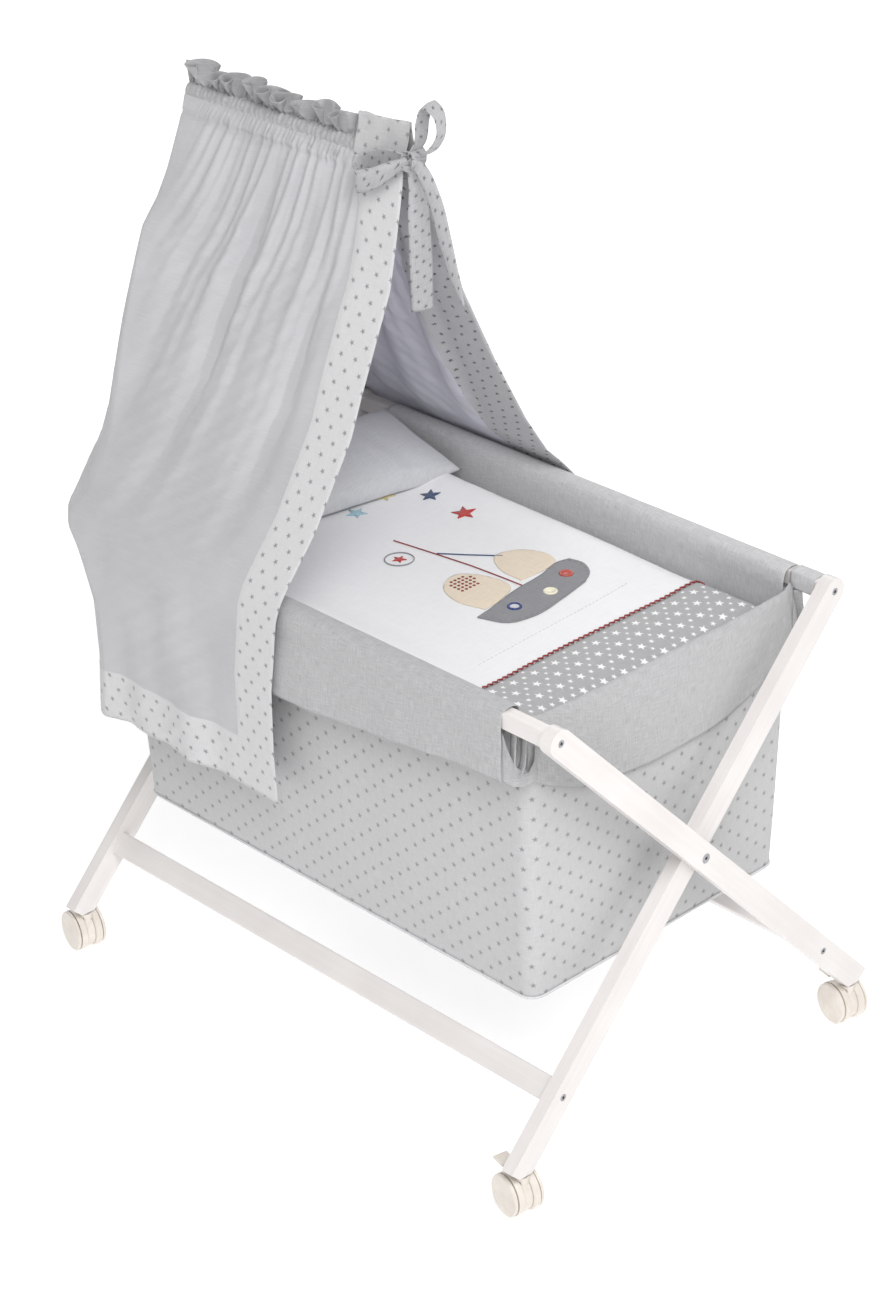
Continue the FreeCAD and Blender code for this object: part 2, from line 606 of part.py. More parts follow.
def hull_shape(centre, long, deep, z, thick):
    """A little boat's hull lying flat: its deck runs across the bed and its keel points to the foot end."""
    deck = centre.x
    left, right = V(deck, centre.y - long / 2, z), V(deck, centre.y + long / 2, z)
    low_left, low_right = V(deck + deep, centre.y - long * 0.36, z), V(deck + deep, centre.y + long * 0.36, z)
    keel = V(deck + deep * 1.06, centre.y, z)
    edges = [
        Part.Arc(left, V(deck + 8, centre.y, z), right).toShape(),
        Part.LineSegment(right, low_right).toShape(),
        Part.Arc(low_right, keel, low_left).toShape(),
        Part.LineSegment(low_left, left).toShape(),
    ]
    return Part.Face(Part.Wire(edges)).extrude(V(0, 0, thick))


STARS = ((-212, 52, 16), (-216, 112, 16), (-207, 163, 16), (-130, 157, 18))
BOAT = V(88, 50, 0)
BOAT_LONG, BOAT_DEEP = 206, 64


def bedding():
    half_len, half_wide = val("$bed_half_len"), val("$bed_half_wide")
    floor, top, patch = val("$shelf_height") + 0.3, val("$quilt_top"), val("$patch_thick")
    bed_top = floor + val("$mattress_tall")
    soft_block("mattress", V(-half_len, -half_wide, floor), V(half_len, half_wide, bed_top), 14)
    soft_block("quilt", V(-half_len, -half_wide, bed_top + 0.5), V(half_len, half_wide, top), 22)
    front, pillow_half = val("$pillow_front"), val("$pillow_half_wide")
    soft_block("pillow", V(-half_len, -pillow_half, top + 0.5), V(front, pillow_half, val("$pillow_top")), 26)
    seam = 262
    band = Part.makeBox(half_len - 22 - seam, 2 * half_wide - 44, patch, V(seam, 22 - half_wide, top + 0.1))
    solid("quilt_foot_band", band)
    teeth, pitch = 44, (2 * half_wide - 44) / 44
    wave = [V(seam - 3.5 if i % 2 else seam - 8.5, 22 - half_wide + pitch * i, top + 0.1) for i in range(teeth + 1)]
    back = [p + V(3, 0, 0) for p in reversed(wave)]
    solid("quilt_zigzag", Part.Face(Part.makePolygon(wave + back + wave[:1])).extrude(V(0, 0, patch)))
    hull = hull_shape(BOAT, BOAT_LONG, BOAT_DEEP, top + 0.1, patch)
    solid("boat_hull", hull)
    buttons = [Part.makeCylinder(10, 3, V(BOAT.x + 34, BOAT.y + dy, top + patch + 0.2)) for dy in (-54, 6, 66)]
    solid("hull_buttons", Part.makeCompound(buttons))
    mast = Part.makeCylinder(2, 235, V(BOAT.x - 3, BOAT.y - 20, top + 2.2), V(-1, 0, 0))
    solid("boat_mast", mast)
    stars = [star(size, V(x, y, top + 0.1), patch) for x, y, size in STARS]
    solid("quilt_stars", Part.makeCompound(stars))


# ---------------------------------------------------------------- canopy cloth

def shell_solid(outer, inner):
    """A closed solid between two grids of points with the same rows and columns."""
    faces = []

    def quad(a, b, c, d):
        for corners in ((a, b, c), (a, c, d)):
            if (corners[1] - corners[0]).cross(corners[2] - corners[0]).Length > 1e-6:
                faces.append(Part.Face(Part.makePolygon([*corners, corners[0]])))

    rows, columns = len(outer), len(outer[0])
    for i in range(rows - 1):
        for j in range(columns - 1):
            quad(outer[i][j], outer[i][j + 1], outer[i + 1][j + 1], outer[i + 1][j])
            quad(inner[i][j], inner[i + 1][j], inner[i + 1][j + 1], inner[i][j + 1])
    for j in range(columns - 1):
        quad(outer[0][j], inner[0][j], inner[0][j + 1], outer[0][j + 1])
        quad(outer[-1][j], outer[-1][j + 1], inner[-1][j + 1], inner[-1][j])
    for i in range(rows - 1):
        quad(outer[i][0], outer[i + 1][0], inner[i + 1][0], inner[i][0])
        quad(outer[i][-1], inner[i][-1], inner[i + 1][-1], outer[i + 1][-1])
    shell = Part.makeShell(faces)
    shell.sewShape()
    whole = Part.makeSolid(shell)
    if whole.Volume < 0:
        whole.reverse()
    return whole


def curtain_rows(inset):
    """The curtain from ridge to hem, as rows of points, from the near front edge round the head to the far one."""
    wide, front, head = val("$curtain_wide") - inset, val("$curtain_front"), val("$curtain_head") + inset
    ridge, shoulder, hem = val("$ridge_top") - inset, val("$shoulder"), val("$hem")
    ridge_front, ridge_head, ridge_half = val("$arm_end") + 8, head + 4, 14 - inset
    upper, upper_half = val("$upper"), val("$upper_half") - inset
    near = [  # plan at the shoulder, at the upper bend and at the ridge, then the hem's height
        ((front, -wide), (front - 5, -upper_half), ridge_front, hem),
        ((-240, -wide), (-260, -upper_half), -280, hem),
        ((-436, -wide), (-456, -upper_half - 12), -470, hem),
        ((-474, -wide + 4), (-494, -upper_half - 12), -500, hem + 14),
        ((head + 10, -wide + 70), (head + 8, -upper_half), ridge_head + 4, hem + 90),
        ((head, -90), (head + 2, -30), ridge_head, val("$head_hem")),
    ]
    far = [((p[0], -p[1]), (u[0], -u[1]), r, z) for p, u, r, z in reversed(near)]
    far[2] = ((-494, wide - 5), (-502, upper_half + 12), -506, hem + 14)
    lines = [(p, u, (r, -ridge_half), z) for p, u, r, z in near] + [(p, u, (r, ridge_half), z) for p, u, r, z in far]
    return [
        [V(*ridge_spot, ridge) for p, u, ridge_spot, z in lines],
        [V(*u, upper) for p, u, ridge_spot, z in lines],
        [V(*p, shoulder) for p, u, ridge_spot, z in lines],
        [V(*p, z) for p, u, ridge_spot, z in lines],
    ]


def canopy():
    """The curtain, the ruffle above its casing, and the ribbon bow at the end of the arm."""
    veil = val("$veil")
    outer, inner = curtain_rows(0), curtain_rows(veil)
    walls = shell_solid(outer, inner)
    front, head, ridge = val("$arm_end") + 8, val("$curtain_head") + 4, val("$ridge_top")
    lid = Part.makeBox(front - head - 4, 28 - 0.02, veil, V(head + 4, -14 + 0.01, ridge - veil))
    solid("canopy_curtain", walls.fuse(lid))
    ruffle = Part.makeBox(-158 - head - 8, 14, val("$ruffle_top") - ridge, V(head + 8, -7, ridge + 0.2))
    strip = Part.makeBox(front + 154, 8, 32, V(-154, -4, ridge + 0.2))
    solid("canopy_ruffle", Part.makeCompound([ruffle, strip]))
    knot = Part.makeBox(28, 26, 28, V(front + 2, -28, 1270))
    loops = [
        Part.makeBox(84, 14, 66, V(front - 80, -50, 1222)),
        Part.makeBox(10, 30, 20, V(front + 3, -50, 1270)),
        Part.makeBox(52, 34, 75, V(front + 14, -28, 1297)),
    ]
    tails = [
        Part.makeBox(40, 30, 78, V(front + 18, -22, 1194)),
        Part.makeBox(44, 30, 98, V(front + 56, -22, 1100)),
        Part.makeBox(14, 18, 34, V(front + 4, -22, 1240)),
        Part.makeBox(14, 44, 174, V(front + 4, -22, 1076)),
    ]
    bow = knot.multiFuse(loops + tails)
    solid("ribbon_bow", bow)


# ---------------------------------------------------------------- build, check and write

stand()
pivots()
casters()
pole()
bracket()
basket()
bands()
shelf()
bedding()
canopy()
doc.recompute()

for obj in doc.Objects:
    if "Invalid" in obj.State or "Error" in obj.State:
        raise RuntimeError(f"{obj.Name}: {obj.State}")
labels = [obj.Label for obj in parts]
if len(set(labels)) != len(labels):
    raise RuntimeError("two sub-parts share a name")
os.makedirs("parts", exist_ok=True)
for obj in parts:
    shape = obj.Shape
    if shape.isNull() or not shape.isValid():
        raise RuntimeError(f"{obj.Label} has no valid shape")
    shape.exportStep(f"parts/{obj.Label}.step")
print(len(parts), "sub-parts written")
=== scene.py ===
"""Looks of the folding bassinet: cotton basket, grey bands, bedding, gathered canopy and hard parts."""
from contextlib import contextmanager
import math

import bmesh
import bpy
import numpy as np
from mathutils import Matrix, Vector
from mathutils.bvhtree import BVHTree


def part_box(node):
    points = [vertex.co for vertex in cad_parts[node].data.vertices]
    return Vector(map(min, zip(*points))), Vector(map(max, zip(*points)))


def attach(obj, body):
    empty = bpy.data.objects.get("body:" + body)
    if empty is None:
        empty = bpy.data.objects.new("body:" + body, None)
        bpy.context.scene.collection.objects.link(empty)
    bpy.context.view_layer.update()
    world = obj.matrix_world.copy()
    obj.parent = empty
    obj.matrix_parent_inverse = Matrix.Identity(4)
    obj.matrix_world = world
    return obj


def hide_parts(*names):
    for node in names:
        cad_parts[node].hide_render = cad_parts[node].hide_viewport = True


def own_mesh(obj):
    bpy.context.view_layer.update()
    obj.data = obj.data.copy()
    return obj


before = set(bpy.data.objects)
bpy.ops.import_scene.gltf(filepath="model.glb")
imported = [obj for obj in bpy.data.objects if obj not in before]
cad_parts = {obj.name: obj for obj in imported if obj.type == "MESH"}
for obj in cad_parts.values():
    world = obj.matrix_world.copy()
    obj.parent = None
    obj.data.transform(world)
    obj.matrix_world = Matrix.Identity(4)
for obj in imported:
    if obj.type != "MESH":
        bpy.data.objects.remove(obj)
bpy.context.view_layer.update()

SLOPE = math.radians(46.5)


# ---------------------------------------------------------------- meshes

def new_object(name, mesh, materials=(), smooth=True):
    obj = bpy.data.objects.new(name, mesh)
    bpy.context.scene.collection.objects.link(obj)
    for material in materials:
        mesh.materials.append(material)
    if smooth:
        mesh.polygons.foreach_set("use_smooth", [True] * len(mesh.polygons))
    return obj


@contextmanager
def editing(mesh):
    """A mesh opened for editing and written back at the end."""
    work = bmesh.new()
    work.from_mesh(mesh)
    yield work
    work.to_mesh(mesh)
    work.free()


def sheet_mesh(name, points, uv, materials, slots=None, weld=False):
    """A grid of points, rows by columns, in metres, with its flat position in metres as UV."""
    rows, columns = points.shape[:2]
    index = np.arange(rows * columns).reshape(rows, columns)
    quads = np.stack([index[:-1, :-1], index[:-1, 1:], index[1:, 1:], index[1:, :-1]], axis=-1).reshape(-1, 4)
    mesh = bpy.data.meshes.new(name)
    mesh.from_pydata(points.reshape(-1, 3).tolist(), [], quads.tolist())
    layer = mesh.uv_layers.new(name="cloth")
    flat = uv.reshape(-1, 2)[quads.reshape(-1)]
    layer.data.foreach_set("uv", flat.astype(np.float32).ravel())
    if slots is not None:
        mesh.polygons.foreach_set("material_index", slots.reshape(-1).astype(np.int32))
    obj = new_object(name, mesh, materials)
    if weld:
        with editing(mesh) as work:
            bmesh.ops.remove_doubles(work, verts=work.verts, dist=1e-5)
            bmesh.ops.recalc_face_normals(work, faces=work.faces)
    return obj


def thicken(obj, amount, offset=-1.0, inner=0):
    """Give a sheet its thickness; inner shifts the material slot of the back face."""
    solid = obj.modifiers.new("thickness", "SOLIDIFY")
    solid.thickness = amount
    solid.offset = offset
    solid.material_offset = inner
    apply_modifiers(obj)
    return obj


def apply_modifiers(obj):
    bpy.context.view_layer.update()
    evaluated = obj.evaluated_get(bpy.context.evaluated_depsgraph_get())
    mesh = bpy.data.meshes.new_from_object(evaluated)
    obj.modifiers.clear()
    obj.data = mesh
    return obj


def running_length(path):
    """Distance from a path's start to each of its points."""
    return np.r_[0, np.cumsum(np.linalg.norm(np.diff(path, axis=0), axis=1))]


def curve_points(keys, count):
    """A smooth curve through key points, as evenly spaced points."""
    keys = np.asarray(keys, float)
    chord = running_length(keys)
    slopes = np.gradient(keys, chord, axis=0)
    fine = np.linspace(0, chord[-1], count * 4)
    i = np.clip(np.searchsorted(chord, fine) - 1, 0, len(chord) - 2)
    span = (chord[i + 1] - chord[i])[:, None]
    t = ((fine - chord[i])[:, None]) / span
    path = ((2 * t**3 - 3 * t**2 + 1) * keys[i] + (t**3 - 2 * t**2 + t) * span * slopes[i]
            + (-2 * t**3 + 3 * t**2) * keys[i + 1] + (t**3 - t**2) * span * slopes[i + 1])
    return evenly(path, count)


def evenly(path, count):
    """The same path with points at equal distances."""
    length = running_length(path)
    spots = np.linspace(0, length[-1], count)
    return np.stack([np.interp(spots, length, path[:, k]) for k in range(path.shape[1])], axis=1)


def lengths_along(points, axis):
    """Running length of a grid of points along its rows (axis 0) or columns (axis 1)."""
    steps = np.linalg.norm(np.diff(points, axis=axis), axis=2)
    pad = [(0, 0), (0, 0)]
    pad[axis] = (1, 0)
    return np.pad(np.cumsum(steps, axis=axis), pad)


def waves(position, wavelengths, seed):
    """Smooth irregular waves between about -1 and 1 along a position in metres."""
    rng = np.random.default_rng(seed)
    total = np.zeros_like(position)
    for wavelength in wavelengths:
        stretch = rng.uniform(0.85, 1.15)
        total += np.sin(2 * np.pi * position / (wavelength * stretch) + rng.uniform(0, 6.28))
    return total / len(wavelengths)


def smooth_step(value, low, high):
    t = np.clip((value - low) / (high - low), 0, 1)
    return t * t * (3 - 2 * t)


def tube(name, path, radius, material, closed=False):
    """A round cord of cloth or thread along a path of points."""
    curve = bpy.data.curves.new(name, "CURVE")
    curve.dimensions = "3D"
    spline = curve.splines.new("POLY")
    spline.points.add(len(path) - 1)
    for point, spot in zip(spline.points, path):
        point.co = (*spot, 1)
    spline.use_cyclic_u = closed
    curve.bevel_depth = radius
    curve.bevel_resolution = 1
    curve.use_fill_caps = not closed
    holder = bpy.data.objects.new(name + "_curve", curve)
    bpy.context.scene.collection.objects.link(holder)
    bpy.context.view_layer.update()
    mesh = bpy.data.meshes.new_from_object(holder.evaluated_get(bpy.context.evaluated_depsgraph_get()))
    bpy.data.objects.remove(holder)
    mesh.name = name
    mesh.materials.clear()
    return new_object(name, mesh, [material])


def join_meshes(name, objects):
    """One object from several, keeping their materials."""
    work = bmesh.new()
    materials = []
    for obj in objects:
        start = len(work.faces)
        work.from_mesh(obj.data)
        work.faces.ensure_lookup_table()
        shift = len(materials)
        materials += list(obj.data.materials)
        for face in work.faces[start:]:
            face.material_index += shift
    mesh = bpy.data.meshes.new(name)
    work.to_mesh(mesh)
    work.free()
    for obj in objects:
        bpy.data.objects.remove(obj)
    return new_object(name, mesh, materials)


def grid_block(name, low, high, step, round_by):
    """A closed box of small quads with rounded edges, ready for remeshing."""
    work = bmesh.new()
    bmesh.ops.create_cube(work, size=1)
    size = [high[k] - low[k] for k in range(3)]
    for vert in work.verts:
        for k in range(3):
            vert.co[k] = low[k] + (vert.co[k] + 0.5) * size[k]
    bmesh.ops.bevel(work, geom=work.edges[:], offset=round_by, segments=4, affect="EDGES", profile=0.5)
    mesh = bpy.data.meshes.new(name)
    work.to_mesh(mesh)
    work.free()
    obj = new_object(name, mesh)
    remesh(obj, step)
    return obj


def remesh(obj, voxel):
    modifier = obj.modifiers.new("remesh", "REMESH")
    modifier.mode = "VOXEL"
    modifier.voxel_size = voxel
    modifier.use_smooth_shade = True
    return apply_modifiers(obj)


def puff(obj, pressure, cap):
    """Swell a closed pad with cloth and pressure, and keep each point within cap of where it began."""
    before = np.array([v.co for v in obj.data.vertices])
    modifier = obj.modifiers.new("cloth", "CLOTH")
    settings = modifier.settings
    settings.quality = 6
    settings.mass = 0.3
    settings.use_pressure = True
    settings.uniform_pressure_force = pressure
    settings.tension_stiffness = 15
    settings.compression_stiffness = 15
    settings.bending_stiffness = 0.4
    settings.effector_weights.gravity = 0
    scene = bpy.context.scene
    for step in range(1, 21):
        scene.frame_set(step)
    evaluated = obj.evaluated_get(bpy.context.evaluated_depsgraph_get())
    after = np.array([v.co for v in evaluated.data.vertices])
    obj.modifiers.clear()
    scene.frame_set(1)
    move = after - before
    far = np.linalg.norm(move, axis=1, keepdims=True)
    move *= np.minimum(1, cap / np.maximum(far, 1e-9))
    obj.data.vertices.foreach_set("co", (before + move).astype(np.float32).ravel())
    return obj


def relax(obj, rounds):
    with editing(obj.data) as work:
        for _ in range(rounds):
            bmesh.ops.smooth_vert(work, verts=work.verts, factor=0.5,
                                  use_axis_x=True, use_axis_y=True, use_axis_z=True)
    return obj


def finish_pad(obj, material):
    obj.data.materials.clear()
    obj.data.materials.append(material)
    obj.data.polygons.foreach_set("use_smooth", [True] * len(obj.data.polygons))
    return obj


# ---------------------------------------------------------------- materials

class Graph:
    """A material's node tree, built with short calls."""

    def __init__(self, name, roughness=0.8, **values):
        self.material = bpy.data.materials.new(name)
        self.material.use_nodes = True
        self.tree = self.material.node_tree
        self.shader = self.tree.nodes["Principled BSDF"]
        self.shader.inputs["Roughness"].default_value = roughness
        for socket, value in values.items():
            self.shader.inputs[socket.replace("_", " ")].default_value = value

    def put(self, socket, value):
        if isinstance(value, bpy.types.NodeSocket):
            self.tree.links.new(value, socket)
        else:
            socket.default_value = value

    def node(self, kind, output=0, inputs=(), **properties):
        node = self.tree.nodes.new("ShaderNode" + kind)
        for name, value in properties.items():
            setattr(node, name, value)
        for name, value in dict(inputs).items():
            self.put(node.inputs[name], value)
        return node.outputs[output]

    def math(self, operation, *values):
        return self.node("Math", inputs=list(enumerate(values)), operation=operation)

    def mix(self, factor, low, high):
        return self.node("Mix", output=2, inputs={0: factor, 6: low, 7: high}, data_type="RGBA")

    def ramp(self, value, low, high, to_low=0.0, to_high=1.0):
        return self.node("MapRange", inputs=[(0, value), (1, low), (2, high), (3, to_low), (4, to_high)])

    def place(self, flat):
        """Position in metres: along the cloth where a piece has its flat layout, else in space."""
        if flat:
            return self.node("UVMap", uv_map="cloth")
        return self.node("TexCoord", output=3)

    def axes(self, vector):
        return self.node("SeparateXYZ", inputs={0: vector}).node.outputs

    def stretched(self, place, scale, rotation=(0, 0, 0)):
        return self.node("Mapping", inputs={"Vector": place, "Scale": scale, "Rotation": rotation})

    def noise(self, place, scale, detail=3.0, roughness=0.5):
        return self.node("TexNoise", inputs={
            "Vector": place, "Scale": scale, "Detail": detail, "Roughness": roughness})

    def color(self, value):
        self.put(self.shader.inputs["Base Color"], value)

    def bump(self, height, distance, strength=1.0):
        normal = self.node("Bump", inputs={"Height": height, "Distance": distance, "Strength": strength})
        self.put(self.shader.inputs["Normal"], normal)


def rgb(r, g, b):
    """A colour given as 8-bit display values, in linear light."""
    def linear(c):
        c /= 255
        return c / 12.92 if c <= 0.04045 else ((c + 0.055) / 1.055) ** 2.4
    return (linear(r), linear(g), linear(b), 1.0)


def threads(graph, place, pitch):
    """Height of a plain weave: two sets of threads, each with slubs."""
    parts = graph.axes(place)
    turn = 2 * math.pi / pitch
    warp = graph.math("SINE", graph.math("MULTIPLY", parts[0], turn))
    weft = graph.math("SINE", graph.math("MULTIPLY", parts[1], turn))
    return graph.math("MULTIPLY", warp, weft)


def slubs(graph, place, long, short):
    """Uneven thread colour: streaks along and across the cloth."""
    along = graph.noise(graph.stretched(place, (1 / long, 1 / short, 1 / long)), 1.0, 2)
    across = graph.noise(graph.stretched(place, (1 / short, 1 / long, 1 / long)), 1.0, 2)
    return graph.math("MULTIPLY", graph.math("ADD", along, across), 0.5)


STAR_EDGE, STAR_NOTCH = 0.0006, 0.45


def star_mask(graph, place, pitch, radius, shift):
    """1 inside five-pointed stars set out on a diamond lattice, 0 outside."""
    moved = graph.node("VectorMath", inputs=[(0, place), (1, (shift[0], shift[1], 0))], operation="ADD")
    parts = graph.axes(moved)
    u = graph.math("DIVIDE", parts[0], 2 * pitch[0])
    v = graph.math("DIVIDE", parts[1], 2 * pitch[1])
    cell = []
    for value in (graph.math("ADD", u, v), graph.math("SUBTRACT", u, v)):
        wrapped = graph.math("FRACT", graph.math("ADD", value, 0.5))
        cell.append(graph.math("SUBTRACT", wrapped, 0.5))
    du = graph.math("MULTIPLY", graph.math("ADD", *cell), pitch[0])
    dv = graph.math("MULTIPLY", graph.math("SUBTRACT", *cell), pitch[1])
    squares = [graph.math("MULTIPLY", value, value) for value in (du, dv)]
    reach = graph.math("SQRT", graph.math("ADD", *squares))
    angle = graph.math("ARCTAN2", du, dv)
    fifth = 2 * math.pi / 5
    wedge = graph.math("FLOORED_MODULO", angle, fifth)
    folded = graph.math("ABSOLUTE", graph.math("SUBTRACT", wedge, fifth / 2))
    inner = radius * STAR_NOTCH
    tip, dent = Vector((radius, 0)), Vector((inner * math.cos(fifth / 2), inner * math.sin(fifth / 2)))
    edge = dent - tip
    normal = Vector((edge.y, -edge.x)).normalized()
    x = graph.math("MULTIPLY", reach, graph.math("COSINE", folded))
    y = graph.math("MULTIPLY", reach, graph.math("SINE", folded))
    distance = graph.math("SUBTRACT", graph.math("ADD", graph.math("MULTIPLY", x, normal.x),
                                                 graph.math("MULTIPLY", y, normal.y)), normal.dot(tip))
    return graph.ramp(distance, STAR_EDGE, -STAR_EDGE)


def cotton(name, base, streak, flat=True, pitch=0.0011, stars=None, depth=0.00012):
    """Plain-weave cotton, with or without a star print given as (colour, [(pitch, radius, shift), ...])."""
    graph = Graph(name, roughness=0.85, Sheen_Weight=0.25, Sheen_Roughness=0.5, Specular_IOR_Level=0.25)
    place = graph.place(flat)
    cloud = slubs(graph, place, 0.018, 0.0012)
    color = graph.mix(graph.ramp(cloud, 0.36, 0.64), streak, base)
    if stars:
        for spacing, radius, shift in stars[1]:
            color = graph.mix(star_mask(graph, place, spacing, radius, shift), color, stars[0])
    graph.color(color)
    soft = graph.noise(place, 26.0, 2)
    height = graph.math("ADD", threads(graph, place, pitch), graph.math("MULTIPLY", soft, 6.0))
    graph.bump(height, depth)
    return graph.material


def satin(name, base, shade, rough):
    """Smooth light cloth with a soft sheen and faint lines along the weft."""
    graph = Graph(name, roughness=rough, Sheen_Weight=0.35, Sheen_Roughness=0.35, Specular_IOR_Level=0.4)
    place = graph.place(flat=True)
    lines = graph.noise(graph.stretched(place, (30, 900, 30)), 1.0, 2)
    cloud = graph.noise(place, 7.0, 2)
    mixed = graph.math("ADD", graph.math("MULTIPLY", lines, 0.5), graph.math("MULTIPLY", cloud, 0.5))
    graph.color(graph.mix(graph.ramp(mixed, 0.35, 0.65), shade, base))
    graph.bump(graph.math("ADD", threads(graph, place, 0.0009), graph.math("MULTIPLY", cloud, 8.0)), 0.0001)
    return graph.material


def paint(name, tilt):
    """Satin white paint over beech: the grain shows faintly along the board."""
    graph = Graph(name, roughness=0.4, Specular_IOR_Level=0.45, Coat_Weight=0.15, Coat_Roughness=0.25)
    place = graph.place(flat=False)
    if tilt is None:
        along = graph.stretched(place, (5, 130, 130))
    else:
        along = graph.stretched(graph.stretched(place, (1, 1, 1), (tilt, 0, 0)), (130, 5, 130))
    grain = graph.noise(along, 1.0, 4, 0.6)
    drift = graph.noise(place, 9.0, 2)
    cloud = graph.math("ADD", graph.math("MULTIPLY", grain, 0.4), graph.math("MULTIPLY", drift, 0.6))
    graph.color(graph.mix(graph.ramp(cloud, 0.38, 0.64), rgb(220, 215, 213), rgb(228, 224, 222)))
    graph.bump(grain, 0.00012)
    return graph.material


def plastic(name, base, shade, rough=0.35):
    graph = Graph(name, roughness=rough, Specular_IOR_Level=0.5)
    place = graph.place(flat=False)
    cloud = graph.noise(place, 45.0, 3)
    grime = graph.ramp(cloud, 0.35, 0.7)
    graph.color(graph.mix(grime, shade, base))
    graph.put(graph.shader.inputs["Roughness"], graph.ramp(cloud, 0.3, 0.7, rough - 0.06, rough + 0.1))
    graph.bump(graph.noise(place, 900.0, 2), 0.00006)
    return graph.material


def steel(name):
    graph = Graph(name, roughness=0.3, Metallic=1.0)
    place = graph.place(flat=False)
    scratch = graph.noise(graph.stretched(place, (900, 900, 120)), 1.0, 3)
    graph.color(graph.mix(graph.ramp(scratch, 0.3, 0.7), rgb(120, 120, 122), rgb(190, 190, 192)))
    graph.put(graph.shader.inputs["Roughness"], graph.ramp(scratch, 0.3, 0.7, 0.22, 0.42))
    graph.bump(scratch, 0.00004)
    return graph.material


def hardboard(name):
    graph = Graph(name, roughness=0.7)
    place = graph.place(flat=False)
    fibre = graph.noise(graph.stretched(place, (60, 400, 400)), 1.0, 4)
    graph.color(graph.mix(graph.ramp(fibre, 0.3, 0.7), rgb(150, 116, 82), rgb(186, 152, 112)))
    graph.bump(fibre, 0.0002)
    return graph.material


def make_materials():
    grey_star, dark_star, white_star = rgb(146, 146, 149), rgb(112, 112, 115), rgb(250, 250, 250)
    small = [((0.0184, 0.0155), 0.0045, (0, 0))]
    fine = [((0.0135, 0.0195), 0.0044, (0, 0))]
    close = [((0.0110, 0.0100), 0.0032, (0, 0))]
    step = (0.0235, 0.0195)
    big = [(step, 0.0070, (0, 0)), (step, 0.0042, (0.0235, 0)), (step, 0.0032, (0.0118, 0.0098))]
    return {
        "paint_a": paint("white_paint_frame_a", SLOPE),
        "paint_b": paint("white_paint_frame_b", -SLOPE),
        "paint_bar": paint("white_paint_bars", None),
        "steel": steel("zinc_steel"),
        "caster": plastic("ivory_plastic", rgb(228, 222, 214), rgb(216, 207, 197)),
        "white_plastic": plastic("white_plastic", rgb(228, 228, 227), rgb(216, 216, 215)),
        "white_metal": plastic("white_powder_coat", rgb(228, 228, 228), rgb(218, 218, 219), 0.45),
        "board": hardboard("hardboard"),
        "star_cotton": cotton("star_cotton", rgb(202, 202, 203), rgb(190, 190, 191),
                              stars=(grey_star, small)),
        "border_cotton": cotton("border_cotton", rgb(214, 214, 215), rgb(204, 204, 205),
                                stars=(grey_star, fine)),
        "border_back": cotton("border_back", rgb(222, 222, 224), rgb(210, 210, 213), stars=(dark_star, fine)),
        # Bow ribbon cloth: a greyer copy of the star cotton with darker stars, painted shade so the bow reads
        # as shadowed.
        "ribbon_painted_shade": cotton("ribbon_painted_shade", rgb(190, 190, 192), rgb(170, 170, 173),
                                stars=(dark_star, close)),
        "chambray": cotton("grey_chambray", rgb(198, 198, 199), rgb(170, 170, 172),
                           pitch=0.0016, depth=0.0002),
        # The far sleeve's cloth: the same grey chambray made lighter, painted light that makes up for the
        # shade on the far band's inner side.
        "far_chambray_painted_light": cotton("grey_chambray_far_painted_light", rgb(216, 216, 217), rgb(190, 190, 192),
                               pitch=0.0016, depth=0.0002),
        "white_cotton": cotton("white_cotton", rgb(248, 248, 249), rgb(242, 242, 244), flat=False),
        "pillow_cotton": cotton("pillow_cotton", rgb(214, 215, 218), rgb(202, 203, 206), flat=False),
        "star_grey": cotton("star_grey_cotton", rgb(180, 180, 181), rgb(167, 167, 169), flat=False,
                            stars=(white_star, big)),
        "webbing": cotton("white_webbing", rgb(218, 218, 218), rgb(202, 202, 202),
                          flat=False, pitch=0.003, depth=0.0004),
        "braid": cotton("red_braid", rgb(168, 58, 54), rgb(128, 34, 34),
                        flat=False, pitch=0.002, depth=0.0003),
        "felt_grey": cotton("grey_felt", rgb(152, 152, 157), rgb(136, 136, 141),
                            flat=False, pitch=0.0015, depth=0.0003),
        "satin": satin("canopy_satin", rgb(196, 196, 199), rgb(184, 184, 187), 0.5),
        # The lining is a pale cloth; part of its lightness is painted light standing in for light shining
        # through the curtain.
        "lining": satin("canopy_lining", rgb(240, 240, 250), rgb(230, 230, 242), 0.6),
        "ruffle": cotton("ruffle_chambray", rgb(196, 196, 198), rgb(166, 166, 168),
                         pitch=0.0014, depth=0.0002),
        "thread": cotton("white_thread", rgb(226, 226, 228), rgb(210, 210, 212), flat=False, pitch=0.0008),
        "grey_thread": cotton("grey_thread", rgb(150, 150, 152), rgb(130, 130, 132),
                              flat=False, pitch=0.0008),
        "cyan": cotton("cyan_felt", rgb(178, 212, 224), rgb(160, 198, 212), flat=False),
        "yellow": cotton("yellow_felt", rgb(226, 212, 160), rgb(214, 198, 142), flat=False),
        "navy": cotton("navy_felt", rgb(70, 92, 130), rgb(54, 74, 110), flat=False),
        "red": cotton("red_felt", rgb(206, 70, 62), rgb(180, 52, 48), flat=False),
        "cream": cotton("cream_felt", rgb(242, 227, 206), rgb(231, 214, 190), flat=False),
        "button_blue": plastic("blue_button", rgb(60, 78, 140), rgb(46, 62, 120), 0.25),
        "button_cream": plastic("cream_button", rgb(238, 232, 208), rgb(226, 218, 192), 0.25),
        "button_red": plastic("red_button", rgb(190, 84, 70), rgb(168, 66, 56), 0.25),
    }


# ---------------------------------------------------------------- basket

